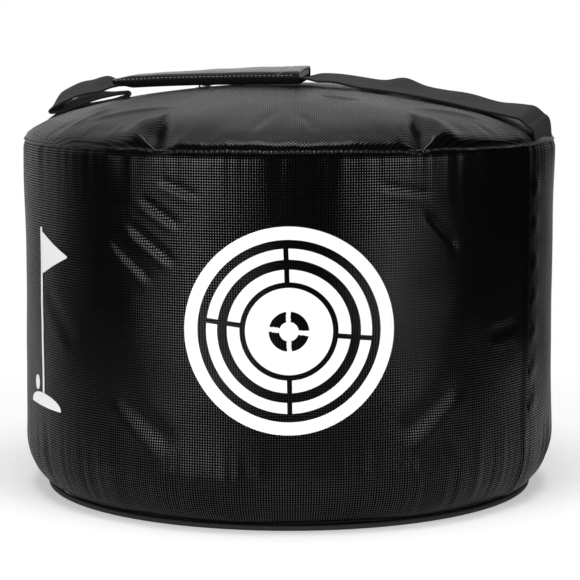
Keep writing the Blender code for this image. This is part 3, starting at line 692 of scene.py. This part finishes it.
def lid_line():
    """The lid's outer line from its middle to the rim, as (radius, height)."""
    edge = asin(CROWN_RADIUS / DOME_RADIUS)
    turns = [edge * step / 44 for step in range(45)]
    line = [(DOME_RADIUS * sin(turn), DOME_CENTRE.z + DOME_RADIUS * cos(turn)) for turn in turns]
    start, end = Vector(line[-1]), Vector((BAG_RADIUS, RIM_HEIGHT))
    leave = start + Vector((cos(edge), -sin(edge))) * SHOULDER_RUN
    arrive = end + Vector((-cos(RIM_SLOPE), sin(RIM_SLOPE))) * RIM_RUN
    return line + [tuple(curved(start, leave, arrive, end, step / 56)) for step in range(1, 57)]


lid_outline = lid_line()


def lid_height(radius):
    for near, far in zip(lid_outline, lid_outline[1:]):
        if near[0] <= radius <= far[0]:
            return near[1] + (far[1] - near[1]) * (radius - near[0]) / (far[0] - near[0])
    return lid_outline[-1][1]


# Each crease: its two ends as (x, y) in millimetres, its width and its height in metres
LID_CREASES = (
    ((-137, -95), (-70, -104), 0.0045, 0.0016),
    ((-149, -108), (-112, -58), 0.0050, 0.0014),
    ((-140, -60), (-96, -32), 0.0060, 0.0010),
    ((132, -98), (74, -100), 0.0050, 0.0014),
    ((150, -96), (110, -66), 0.0050, 0.0010),
    ((18, -86), (50, -97), 0.0028, -0.0010),
    ((-24, -170), (-8, -128), 0.0040, -0.0007),
    ((20, -172), (4, -132), 0.0040, -0.0007),
    ((-60, 172), (-38, 120), 0.0050, -0.0012),
    ((52, 172), (34, 126), 0.0050, -0.0012),
    ((140, 110), (104, 84), 0.0050, 0.0012),
    ((-138, 112), (-100, 90), 0.0050, 0.0012),
)


def pucker_azimuth(radius):
    """Where the bottom of each front pucker lies; it runs a little outward towards the middle."""
    return 32.0 - (max(radius, 0.146) - 0.1500) / 0.0350 * 5.6


def lid_rise(azimuth, x, y):
    """How far the lid stands above its even crown at a place, in metres."""
    radius = hypot(x, y)
    place = Vector((x, y, 0.3))
    rim = eased(radius, 0.185, 0.176)
    rise = rim * (0.0013 * noise.noise(place * 12) + 0.0006 * noise.noise(place * 30))
    ring = Vector((sin(radians(azimuth)), cos(radians(azimuth)), 2))
    tucks = noise.noise(ring * 11) + 0.5 * noise.noise(ring * 31)
    rise += 0.0013 * tucks * bump(radius, 0.174, 0.011)
    for start, end, width, height in LID_CREASES:
        start, end = Vector(start) / 1000, Vector(end) / 1000
        along = end - start
        here = Vector((x, y)) - start
        share = here.dot(along) / along.length_squared
        off = (here.x * along.y - here.y * along.x) / along.length
        rise += rim * height * eased(share, -0.05, 0.3) * eased(share, 1.05, 0.6) * bump(off, 0, width)
    for side in (-1, 1):
        beside = radians(pucker_azimuth(radius) - side * azimuth) * radius
        spread = max(0.30, min(1, (radius - 0.132) / 0.044))
        if abs(beside) < 0.05:
            fold = max(0, 1 - beside / (spread * (0.0150 if beside > 0 else -0.0095)))
            fold = 0.0034 * bump(beside, -0.0175 * spread, 0.0085 * spread) - 0.0078 * fold**1.2
            rise += fold * eased(radius, 0.142, 0.168) * (0.25 + 0.75 * eased(radius, 0.1850, 0.1795))
    # The cloth stands over its own seam in a thin lip before it turns down
    lip = 0.6 + 0.5 * noise.noise(ring * 7) + 0.25 * noise.noise(ring * 40)
    rise += 0.0012 * lip * eased(radius, 0.1720, 0.1815) * eased(radius, 0.1842, 0.1822)
    rise -= 0.0010 * bump(radius, 0.1843, 0.0011)
    along, across = on_zip_plan(x, y)
    under_strap = eased(abs(across), 0.034, 0.027)
    under_near_edge = bump(across, -0.026, 0.011) * eased(along, 0.045, 0.070)
    clear_of_zip = 1 - eased(abs(across - ZIP_OFFSET), 0.020, 0.012) * eased(abs(along), 0.112, 0.100)
    pressed_down = 0.0004 * under_strap + 0.0009 * under_near_edge
    return (rise * (1 - under_strap) - pressed_down) * clear_of_zip


crowned = wrapped([(max(r, 1e-5), z) for r, z in lid_outline], LID_STEPS)
for vert in crowned.verts:
    azimuth, radius = azimuth_of(vert.co), hypot(vert.co.x, vert.co.y)
    for side in (-1, 1):  # closer columns at the two puckers, and one along the bottom of each
        near = bump(azimuth, side * 30, 11)
        azimuth += near * (side * (pucker_azimuth(radius) - 30) - 0.6 * (azimuth - side * 30))
    vert.co = from_azimuth(azimuth, radius, vert.co.z)
    vert.co.z += lid_rise(azimuth, vert.co.x, vert.co.y)
crown_mesh = bpy.data.meshes.new("crown")
crowned.to_mesh(crown_mesh)
crowned.free()
lid_fabric = coated_mesh_paint("coated_mesh_lid", False, 0.22, 45)


def lid_half(name, side, node):
    """One half of the lid: the crown cut along the zip's line, with its half of the zip's slot."""
    shape = bmesh.new()
    shape.from_mesh(crown_mesh)
    bmesh.ops.remove_doubles(shape, verts=shape.verts, dist=2e-5)
    bmesh.ops.dissolve_degenerate(shape, edges=shape.edges, dist=1e-6)
    cut = ACROSS_AXIS * cos(ZIP_TILT) - Vector((0, 0, sin(ZIP_TILT)))
    middle_line = DOME_CENTRE + cut * side * HALF_JOIN
    everything = shape.verts[:] + shape.edges[:] + shape.faces[:]
    bmesh.ops.bisect_plane(
        shape, geom=everything, dist=1e-6, plane_co=middle_line, plane_no=-cut * side, clear_outer=True
    )
    slot_edge, slot_end = DOME_CENTRE + cut * side * ZIP_SLOT_WIDTH / 2, STRAP_AXIS * ZIP_HALF_LENGTH

    def near_slot(middle):
        return abs(middle.dot(STRAP_AXIS)) < 0.1 and abs(middle.dot(ACROSS_AXIS) - ZIP_OFFSET) < 0.012

    def in_slot(middle):
        off = abs((middle - DOME_CENTRE).dot(cut))
        return abs(middle.dot(STRAP_AXIS)) < ZIP_HALF_LENGTH and off < ZIP_SLOT_WIDTH / 2

    for place, normal in ((slot_edge, cut), (slot_end, STRAP_AXIS), (-slot_end, STRAP_AXIS)):
        faces = faces_where(shape, near_slot)
        near = dict.fromkeys(item for face in faces for item in (face, *face.edges, *face.verts))
        bmesh.ops.bisect_plane(shape, geom=list(near), dist=1e-6, plane_co=place, plane_no=normal)
    bmesh.ops.delete(shape, geom=faces_where(shape, in_slot), context="FACES")
    walled(shape, FABRIC)
    half = finished(name, shape, lid_fabric, 60)
    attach(half, "bag")
    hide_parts(node)


lid_half("lid_front_cloth", -1, "top_panel_front")
lid_half("lid_back_cloth", 1, "top_panel_back")

# Seam stitches: one row of heavy black thread through the lid's edge and the top of the side, all
# round. The thread is slick, so single stitches glint in the dark of the seam.
STITCH_PITCH = 0.0034
STITCH_RADIUS = 0.1844


def thread_paint(name, base, shine, low, high):
    material, shader = new_paint(name, base, 0.4, shine)
    two_tone(shader, speckle(shader, 2400.0, 2.0), low, high)
    return material


def stitches(name, places, thread, girth=0.00045, length=0.0022):
    """One small rounded stitch at each place, (point, heading)."""
    shape = bmesh.new()
    size = Matrix.Diagonal((length / 2, girth / 2, girth / 2, 1))
    for point, heading in places:
        turn = heading.to_track_quat("X", "Z").to_matrix().to_4x4()
        here = Matrix.Translation(point) @ turn @ size
        bmesh.ops.create_uvsphere(shape, u_segments=6, v_segments=5, radius=1, matrix=here)
    return finished(name, shape, thread, 80)


places = []
for step in range(round(tau * STITCH_RADIUS / STITCH_PITCH)):
    uneven = 8 * STITCH_PITCH * noise.noise(Vector((step, 3, 1)))
    azimuth = 360 * STITCH_PITCH * step / (tau * STITCH_RADIUS) + uneven
    point = from_azimuth(azimuth, STITCH_RADIUS, lid_height(STITCH_RADIUS))
    point.z += lid_rise(azimuth, point.x, point.y) + 0.0002
    places.append((point, Vector((cos(radians(azimuth)), sin(radians(azimuth)), 0.12))))
black_thread = thread_paint("thread", (0.005, 0.005, 0.006), 0.07, (0.002, 0.002, 0.002), (0.008, 0.008, 0.009))
top_stitches = stitches("top_seam_stitches", places, black_thread)
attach(top_stitches, "bag")

# Filling zip: a coil zip sewn under a slot in the lid, behind the strap, for putting in the towels.
# Two woven tapes, a row of nylon teeth on each, stops at the ends, and a painted slider on a bail.
ZIP_PITCH = 0.0016
HALF_SLIT = 0.0006
TAPE_WIDTH = 0.0130
TAPE_TOP = -0.0017
TAPE_THICKNESS = 0.0005
TAPE_REACH = 0.098
COIL_WIDTH = 0.0024
COIL_TOP = 0.0006
STOP_PLACE = 0.0885
STOP_SHIFT = 0.0018
SLIDER_TOP = 0.0019
SLIDER_REST = 0.0812
# Two plates, the divider between them and two side walls: half length, edges, faces and rounding
SLIDER_PARTS = (
    (0.0055, -0.0046, 0.0046, 0.0009, SLIDER_TOP, 0.00045),
    (0.0055, -0.0046, 0.0046, -0.0037, -0.0027, 0.00045),
    (0.0050, -0.0003, 0.0003, -0.0030, 0.0012, 0.0001),
    (0.0055, -0.0046, -0.0034, -0.0013, 0.0014, 0.0003),
    (0.0055, 0.0034, 0.0046, -0.0013, 0.0014, 0.0003),
)
BAIL = (
    (-0.0038, 0, 0.0013), (-0.0038, 0, 0.0046), (-0.0026, 0, 0.0052),
    (0.0026, 0, 0.0052), (0.0038, 0, 0.0046), (0.0038, 0, 0.0013),
)
BAIL_RADIUS = 0.0007
PULL_HEIGHT = 0.0032
PULL_THICKNESS = 0.0014
PULL_ROWS = (-0.0320, -0.0300, -0.0066, -0.0008, 0.0008)
PULL_COLUMNS = (-0.0036, -0.0014, 0.0014, 0.0036)


def on_zip(along, across, above):
    """The place along the zip's arc from right to left, across it, and above the crown."""
    radius = DOME_RADIUS + above
    sideways = radius * sin(ZIP_TILT) + across * cos(ZIP_TILT)
    outward = radius * cos(ZIP_TILT) - across * sin(ZIP_TILT)
    turn = -along / ZIP_ARC_RADIUS
    place = DOME_CENTRE + STRAP_AXIS * (outward * sin(turn)) + ACROSS_AXIS * sideways
    return place + Vector((0, 0, outward * cos(turn)))


def zip_frame(along):
    """X towards the zip's closed end, Y towards the front of the bag, Z away from the crown."""
    seat = on_zip(along, 0, 0)
    forward = (on_zip(along, -1, 0) - seat).normalized()
    outward = (on_zip(along, 0, 1) - seat).normalized()
    turn = Matrix((forward.cross(outward), forward, outward)).transposed()
    return Matrix.Translation(seat) @ turn.to_4x4()


coil_paint, shader = new_paint("nylon_teeth", (0.010, 0.010, 0.011), 0.35, 0.4)
grain = speckle(shader, 900.0, 2.0)
feed(shader, "Roughness", scaled(grain, 0.3, 0.2))
metal_paint, shader = new_paint("painted_metal", (0.018, 0.018, 0.020), 0.35)
grain = speckle(shader, 300.0, 4.0)
two_tone(shader, grain, (0.010, 0.010, 0.011), (0.034, 0.034, 0.037))
feed(shader, "Roughness", scaled(grain, 0.25, 0.2))


def zip_half(name, side):
    """One tape of the zip, on side -1 or 1 of its slit, and the row of teeth sewn to it."""
    def lay(long_share, wide_share):
        along = (long_share - 0.5) * 2 * TAPE_REACH
        across = HALF_SLIT + (TAPE_WIDTH - HALF_SLIT) * wide_share
        wave = 0.0002 * sin(along * 260 + side) * eased(across, 0.004, 0.012) - 0.0002
        return on_zip(along, side * across, TAPE_TOP + wave), (across, along)
    shape = woven(120, 8, lay)
    walled(shape, TAPE_THICKNESS)
    tape = finished(f"zip_tape_{name}_cloth", shape, tape_paint, 50)
    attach(tape, "bag")
    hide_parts(f"zip_tape_{name}")

    shape = bmesh.new()
    seat = Matrix.Translation((0, -side * (HALF_SLIT + COIL_WIDTH / 2), (COIL_TOP + TAPE_TOP) / 2 + 0.0001))
    size = Matrix.Diagonal((ZIP_PITCH * 0.42, COIL_WIDTH / 2, 0.0010, 1))
    for step in range(-52, 53):
        tooth = zip_frame((step + side * 0.25) * ZIP_PITCH) @ seat @ size
        bmesh.ops.create_uvsphere(shape, u_segments=8, v_segments=6, radius=1, matrix=tooth)
    teeth = finished(f"zip_teeth_{name}", shape, coil_paint, 80)
    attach(teeth, "bag")
    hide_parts(f"zip_coil_{name}")


zip_half("front", -1)
zip_half("back", 1)


def block(shape, frame, low, high, round_by):
    """A block between two corners in a frame, with its edges rounded off."""
    size = [far - near for near, far in zip(low, high)]
    middle = Vector([(far + near) / 2 for near, far in zip(low, high)])
    place = Matrix.Translation(middle) @ Matrix.Diagonal((*size, 1))
    made = bmesh.ops.create_cube(shape, size=1, matrix=place)["verts"]
    edges = list({edge for vert in made for edge in vert.link_edges})
    cut = bmesh.ops.bevel(
        shape, geom=edges, offset=round_by, segments=3, profile=0.5, affect="EDGES", material=-1
    )
    made = {vert for vert in made if vert.is_valid} | {vert for face in cut["faces"] for vert in face.verts}
    bmesh.ops.transform(shape, matrix=frame, verts=list(made))


for node, along, across, half in (
    ("zip_top_stop_front", STOP_PLACE, STOP_SHIFT, 0.0012),
    ("zip_top_stop_back", STOP_PLACE, -STOP_SHIFT, 0.0012),
    ("zip_bottom_stop", -STOP_PLACE, 0, 0.0030),
):
    shape = bmesh.new()
    low, high = (-0.0015, across - half, TAPE_TOP + 0.0003), (0.0015, across + half, SLIDER_TOP - 0.0002)
    block(shape, zip_frame(along), low, high, 0.0005)
    stop = finished(f"{node}_moulded", shape, coil_paint, 40)
    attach(stop, "bag")
    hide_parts(node)

frame_here = zip_frame(SLIDER_REST)
shape = bmesh.new()
for half, near, far, low, high, round_by in SLIDER_PARTS:
    block(shape, frame_here, (-half, near, low), (half, far, high), round_by)
for near, far in zip(BAIL, BAIL[1:]):
    near, far = Vector(near), Vector(far)
    turn = (far - near).to_track_quat("Z", "Y").to_matrix().to_4x4()
    bmesh.ops.create_cone(
        shape, cap_ends=True, segments=12, radius1=BAIL_RADIUS, radius2=BAIL_RADIUS,
        depth=(far - near).length + 0.0008, matrix=frame_here @ Matrix.Translation((near + far) / 2) @ turn,
    )
slider = finished("zip_slider_cast", shape, metal_paint, 40)
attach(slider, "zip_slider_body")
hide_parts("zip_slider")

# The pull hangs on the bail by a window in its end
shape = bmesh.new()
bmesh.ops.create_grid(shape, x_segments=4, y_segments=3, size=0.5)
for vert in shape.verts:
    row, column = round((vert.co.x + 0.5) * 4), round((vert.co.y + 0.5) * 3)
    vert.co = Vector((PULL_ROWS[row], PULL_COLUMNS[column], PULL_HEIGHT - PULL_THICKNESS / 2))
window = faces_where(shape, lambda middle: PULL_ROWS[2] < middle.x < PULL_ROWS[3] and abs(middle.y) < 0.001)
bmesh.ops.delete(shape, geom=window, context="FACES")
for face in shape.faces:
    face.normal_update()
bmesh.ops.solidify(shape, geom=shape.faces[:], thickness=-PULL_THICKNESS)
sharp = [edge for edge in shape.edges if len(edge.link_faces) == 2 and edge.calc_face_angle() > 1]
bmesh.ops.bevel(shape, geom=sharp, offset=0.0004, segments=3, profile=0.5, affect="EDGES", material=-1)
bmesh.ops.recalc_face_normals(shape, faces=shape.faces)
bmesh.ops.transform(shape, matrix=frame_here, verts=shape.verts)
pull = finished("zip_pull_tab", shape, metal_paint, 40)
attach(pull, "zip_pull_body")
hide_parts("zip_pull")

# Strap: one length of black polyester webbing, 48 mm wide, sewn into the round seam at both ends.
# Between its anchor and the grip the right length lies on the lid; the left one is slack, and has
# slid back on itself in two folds. Both pull straight when the bag is lifted by its grip.
STRAP_WIDTH = 0.048
STRAP_THICKNESS = 0.0016
STRAP_GAP = 0.0006
SELVEDGE = 0.0008
WARP_PITCH = 0.0012
WEFT_PITCH = 0.0011
GRIP_LEFT = -0.1285
GRIP_RIGHT = 0.0117
GRIP_LEFT_HEIGHT = 0.2795
GRIP_RIGHT_HEIGHT = 0.2860
GRIP_BOW = 0.0012
GRIP_THICKNESS = 0.0089
GRIP_WALL = 0.0012
STRAP_SKEW = 0.30
TUCK_SKEW = 0.42


def on_strap(along, across, height):
    return STRAP_AXIS * along + ACROSS_AXIS * across + Vector((0, 0, height))


def grip_height(along):
    share = (along - GRIP_LEFT) / (GRIP_RIGHT - GRIP_LEFT)
    even = GRIP_LEFT_HEIGHT + (GRIP_RIGHT_HEIGHT - GRIP_LEFT_HEIGHT) * share
    return even + GRIP_BOW * 4 * share * (1 - share)


def grip_slope(along):
    return (grip_height(along + 0.001) - grip_height(along - 0.001)) / 0.002


def smooth_run(points, steps):
    """A smooth line through points (along, height), with even steps between each two."""
    line = [Vector(point) for point in points]
    line = [2 * line[0] - line[1]] + line + [2 * line[-1] - line[-2]]
    run = []
    for before, start, end, after in zip(line, line[1:], line[2:], line[3:]):
        leave, arrive = start + (end - before) / 6, end - (after - start) / 6
        run += [curved(start, leave, arrive, end, step / steps) for step in range(steps)]
    return run + [line[-2]]


webbing_paint, shader = new_paint(
    "webbing_black", (0.009, 0.0095, 0.012), 0.65, 0.08, Sheen_Weight=0.05, Sheen_Roughness=0.4
)
along, across = measures(on_cloth(shader))
warp = reckon("ABSOLUTE", reckon("SINE", times(across, pi / WARP_PITCH)))
weft = reckon("SINE", times(along, tau / WEFT_PITCH))
ribs = times(warp, scaled(weft, 0.22, 0.78))
# Painted shade: the webbing is painted darker in the hollows between its ribs
two_tone(shader, ribs, (0.003, 0.003, 0.004), (0.015, 0.0158, 0.0195))
relief(shader, 0.7, 0.0004, ribs)


def webbing(name, node, run, laid):
    """A band of webbing with rounded selvedges along a run of (along, height) points. Its laid says
    how far a place is moved along and up, from how far along, across and through the run it is."""
    half, thick, section, lengths = STRAP_WIDTH / 2, STRAP_THICKNESS / 2, [], [0.0]
    for side in (1, -1):
        section += [(side * (half - SELVEDGE) * (step / 15 - 1), side * thick) for step in range(31)]
        section += [(side * (half - SELVEDGE / 4), turned * thick / 2) for turned in (side, -side)]
    section.append(section[0])
    for near, far in zip(run, run[1:]):
        lengths.append(lengths[-1] + (far - near).length)

    def lay(long_share, round_share):
        place = round(long_share * (len(run) - 1))
        across, above = section[round(round_share * (len(section) - 1))]
        heading = (run[min(place + 1, len(run) - 1)] - run[max(place - 1, 0)]).normalized()
        point = run[place] + Vector((-heading.y, heading.x)) * above
        slid, rise = laid(run[place].x, across, lengths[place] / lengths[-1])
        return on_strap(point.x + slid, across, point.y + rise), (lengths[place], across)
    shape = woven(len(run) - 1, len(section) - 1, lay)
    sealed(shape)
    band = finished(name, shape, webbing_paint, 50)
    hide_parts(node)
    return band


def seat(reach, above=0.0):
    """The strap's middle line where it lies on the lid."""
    return lid_height(reach) + STRAP_GAP + STRAP_THICKNESS / 2 + above


def right_laid(along, across, share):
    """The band lies tipped a little to the front; its far edge humps up where it has taken a set."""
    slid = -STRAP_SKEW * eased(along, 0.062, 0.026) * across
    far = eased(across, -0.010, 0.024)
    rise = 0.0038 * far * bump(along, 0.078, 0.011) + 0.0012 * far * bump(along, 0.125, 0.014)
    roll = 0.085 * eased(along, 0.012, 0.024) - 0.010 * eased(along, 0.040, 0.065)
    roll += 0.060 * eased(along, 0.142, 0.172)
    rise += across * roll * eased(share, 1.0, 0.93)
    return slid, rise + slid * grip_slope(along) * eased(along, 0.03, 0.014)


# The right length comes down from the grip, lies on the lid and drops over its rim into the seam
LYING_REACHES = (0.062, 0.072, 0.084, 0.098, 0.112, 0.126, 0.138)
RIM_LIFTS = ((0.148, 0.0012), (0.156, 0.0026), (0.164, 0.0042), (0.171, 0.0058))
right_run = [(0.0136, 0.2839), (0.0212, 0.2839), (0.0289, 0.2840), (0.0367, 0.2835), (0.0453, 0.2822)]
right_run += [(0.0530, seat(0.0530, 0.0012)), *((reach, seat(reach, 0.0006)) for reach in LYING_REACHES)]
right_run += [(reach, seat(reach, above)) for reach, above in RIM_LIFTS]
right_run += [(0.1768, 0.2568), (0.1792, 0.2552), (0.1806, 0.2530), (0.1813, 0.2500)]
right_run += [(0.1816, 0.2466), (0.1816, 0.2438)]
strap_right = webbing("strap_right_webbing", "strap_right", smooth_run(right_run, 8), right_laid)
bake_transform(strap_right)


def loose_laid(along, across, share):
    """Both loose layers hang with their near edge low, down to the last fold, which lies flat."""
    skew = STRAP_SKEW + (TUCK_SKEW - STRAP_SKEW) * eased(share, 0.45, 0.95)
    roll = 0.13 * eased(share, 0.0, 0.12) - 0.08 * eased(share, 0.42, 0.50) - 0.05 * eased(share, 0.72, 0.92)
    far = 0.0040 * eased(across, -0.014, 0.024) * eased(share, -0.06, 0.10) * eased(share, 0.86, 0.60)
    return -skew * across, roll * across + far * (1 - 0.35 * bump(share, 0.20, 0.06))


def lying_laid(along, across, share):
    """The last layer lies on the lid, which falls away under both its edges."""
    fall = lid_height(hypot(along, across)) - lid_height(abs(along))
    skew = TUCK_SKEW * eased(along, -0.156, -0.1264)
    return -skew * across, fall * eased(share, 0.0, 0.25) + 0.0018 * bump(along, -0.160, 0.013)


# The left length, in millimetres: loose from the grip through two folds, then lying on the lid
loose_run = (
    (-130.2, 277.2), (-140.2, 276.2), (-150.1, 275.2), (-158.2, 273.4), (-164.0, 271.4), (-169.0, 269.3),
    (-173.5, 267.2), (-177.5, 265.2), (-180.4, 263.4), (-181.8, 262.0), (-181.9, 260.6), (-180.8, 259.6),
    (-178.6, 259.1), (-175.0, 259.4), (-170.0, 260.4), (-164.0, 262.8), (-157.5, 265.2), (-150.0, 268.0),
    (-143.0, 269.8), (-136.0, 270.9), (-131.0, 271.6), (-127.0, 272.0), (-124.6, 272.2), (-123.4, 271.9),
    (-122.5, 271.4), (-122.1, 270.7), (-122.3, 270.0), (-123.2, 269.6), (-124.8, 269.3), (-126.4, 269.0),
)
lying_run = (
    (-126.4, 269.0), (-131.6, 267.8), (-140.8, 265.7), (-149.9, 263.3), (-156.0, 261.5), (-162.1, 259.5),
    (-168.2, 257.0), (-174.3, 253.9), (-177.4, 251.7), (-180.4, 249.3), (-183.5, 246.9),
)
loose_run, lying_run = [
    smooth_run([(along / 1000, height / 1000) for along, height in run], 4) for run in (loose_run, lying_run)
]
strap_loose = webbing("strap_left_loose", "strap_left", loose_run, loose_laid)
rise = STRAP_AXIS * -0.40 + ACROSS_AXIS * -0.12 + Vector((0, 0, 0.915))
low, high = rise * 0.2965 / rise.length_squared, rise * 0.3055 / rise.length_squared
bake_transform(strap_loose)
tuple(low)
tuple(high)
strap_lying = webbing("strap_left_lying", "strap_left", lying_run, lying_laid)
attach(strap_lying, "bag")

inside_height = -GRIP_THICKNESS / 2 + GRIP_WALL + 0.0003 + STRAP_THICKNESS / 2
inside_run = [(GRIP_LEFT - 0.0016 + (GRIP_RIGHT - GRIP_LEFT + 0.0034) * step / 12) for step in range(13)]
strap_middle = webbing(
    "strap_middle_webbing", "strap_middle",
    smooth_run([(along, grip_height(along) + inside_height) for along in inside_run], 3),
    lambda along, across, share: (-STRAP_SKEW * across, -STRAP_SKEW * across * grip_slope(along)),
)
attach(strap_middle, "handle")

# Grip: a strip of smooth coated cloth wrapped round the strap over a bar of foam, folded in at its
# long edges, and stitched through with a row of pale thread along each edge and a cross row at its
# right end. It slides on the strap, so it is closed round it and open at both ends.
GRIP_WIDTH = 0.056
GRIP_SKEW = 0.20
GRIP_TIP = 0.068
GRIP_CROWN = 0.0006
UNDER_START = 0.56
# Painted shade: the near-black colour of the grip's underside
UNDERSIDE_PAINTED_SHADE = (0.0018, 0.0017, 0.0017, 1)
PAD_WIDTH = 0.0462
PAD_THICKNESS = 0.0038
PAD_LIFT = 0.0009
PAD_INSET = 0.0006
EDGE_ROW = GRIP_WIDTH / 2 - 0.0058
CROSS_ROW = GRIP_RIGHT - 0.0140
EDGE_PITCH = 0.0032

foam_paint, shader = new_paint("foam_grey", (0.20, 0.20, 0.21), 0.95, 0.2)
bubbles = cells(shader, 900.0)
# Painted shade: the foam is painted darker in the pits of its cells
two_tone(shader, bubbles, (0.10, 0.10, 0.11), (0.24, 0.24, 0.25))
relief(shader, 0.6, 0.0005, bubbles)

# Worn smooth on top and rougher underneath, where no hand rubs it; the underside is also painted near black, as
# painted shade on the grip's lower half
grip_paint, shader = new_paint("grip_cover", (0.006, 0.006, 0.007), 0.26, 0.14)
rub = speckle(shader, 60.0, 4.0)
worn = two_tone(shader, rub, (0.004, 0.004, 0.0045), (0.014, 0.014, 0.015))
around = measures(on_cloth(shader))[1]
under_shade_and_rough = add_node(shader, "MapRange", around, UNDER_START, UNDER_START + 0.02).outputs[0]
under_shade_and_rough = reckon("MAXIMUM", under_shade_and_rough, add_node(shader, "MapRange", around, 0.10, 0.08).outputs[0])
# Painted shade: the lower half of the cover takes the near-black underside colour
worn_and_under_shade = add_node(shader, "MixRGB", under_shade_and_rough, worn, UNDERSIDE_PAINTED_SHADE)
feed(shader, "Base Color", worn_and_under_shade.outputs[0])
rough = scaled(under_shade_and_rough, 0.65, scaled(rub, 0.2, 0.18))
feed(shader, "Roughness", rough)
relief(shader, 0.25, 0.0003, cells(shader, 1400.0))


def on_grip(along, across, above):
    """A place in the grip's own frame, above its middle line and square to it. Both ends are cut on
    the slant, so each cross section leans."""
    along -= GRIP_SKEW * across
    above += GRIP_TIP * across * eased(along, GRIP_LEFT - 0.02, GRIP_RIGHT)
    lean = atan(grip_slope(along))
    return on_strap(along - above * sin(lean), across, grip_height(along) + above * cos(lean))


def grip_section(width, thickness, crown):
    """A flat tube's outline, crowned on top, as (across, above)."""
    outline, middle = [], width / 2 - thickness / 2
    for side in (1, -1):
        for step in range(9):
            angle = -pi / 2 + pi * step / 8
            outline.append((side * (middle + thickness / 2 * cos(angle)), side * thickness / 2 * sin(angle)))
        for step in range(1, 16):
            raised = crown * sin(pi * step / 16) if side == 1 else 0
            outline.append((side * (middle - 2 * middle * step / 16), side * thickness / 2 + raised))
    return outline + outline[:1]


def tube_of(outline, start, end, steps, press):
    """A tube of that outline along the grip, its points moved across and up as press says."""
    def lay(long_share, round_share):
        along = start + (end - start) * round(long_share * steps) / steps
        place = press(along, *outline[round(round_share * (len(outline) - 1))])
        return on_grip(along, *place), (along, round_share)
    shape = woven(steps, len(outline) - 1, lay)
    bmesh.ops.remove_doubles(shape, verts=shape.verts, dist=1e-6)
    return shape


def pressed(along, across, above):
    """The stitches draw the cover in along both edges and across its right end."""
    flat = eased(along, GRIP_LEFT + 0.016, GRIP_LEFT) * 0.55
    above = above - (above - 0.0014) * flat
    beat = 0.75 + 0.25 * cos(tau * along / EDGE_PITCH)
    drawn = max(bump(abs(across), EDGE_ROW, 0.0011) * beat, bump(along, CROSS_ROW, 0.0012))
    pull = drawn * (0.0007 if above > 0 else 0.0004)
    sag = 0.0004 * noise.noise(Vector((along * 60, across * 60, 3)))
    return across, above + (sag - pull if above > 0 else pull)


shape = tube_of(grip_section(GRIP_WIDTH, GRIP_THICKNESS, GRIP_CROWN), GRIP_LEFT, GRIP_RIGHT, 190, pressed)
walled(shape, GRIP_WALL)
grip = finished("grip_cover_cloth", shape, grip_paint, 50)
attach(grip, "handle")
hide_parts("grip_sleeve")

shape = tube_of(
    grip_section(PAD_WIDTH, PAD_THICKNESS, 0.0), GRIP_LEFT + PAD_INSET, GRIP_RIGHT - PAD_INSET, 20,
    lambda along, across, above: (across, above + PAD_LIFT),
)
sealed(shape)
pad = finished("grip_pad_foam", shape, foam_paint, 50)
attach(pad, "handle")
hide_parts("grip_pad")

places = []
for side in (-1, 1):
    for step in range(round((GRIP_RIGHT - GRIP_LEFT - 0.006) / EDGE_PITCH)):
        along, across = GRIP_LEFT + 0.003 + EDGE_PITCH * step, side * (GRIP_WIDTH / 2 - 0.0004)
        across, above = pressed(along, across, GRIP_THICKNESS * 0.20)
        heading = on_grip(along + 0.001, across, above) - on_grip(along, across, above)
        places.append((on_grip(along, across, above + 0.0001), heading))
for step in range(12):
    across, above = pressed(CROSS_ROW, -0.0200 + 0.0400 * step / 11, GRIP_THICKNESS / 2 + 0.0004)
    places.append((on_grip(CROSS_ROW, across, above + 0.0001), ACROSS_AXIS))
pale_thread = thread_paint("edge_thread", (0.22, 0.22, 0.22), 0.5, (0.10, 0.10, 0.10), (0.34, 0.34, 0.34))
grip_stitches = stitches("grip_stitches", places, pale_thread, 0.0005)
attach(grip_stitches, "handle")
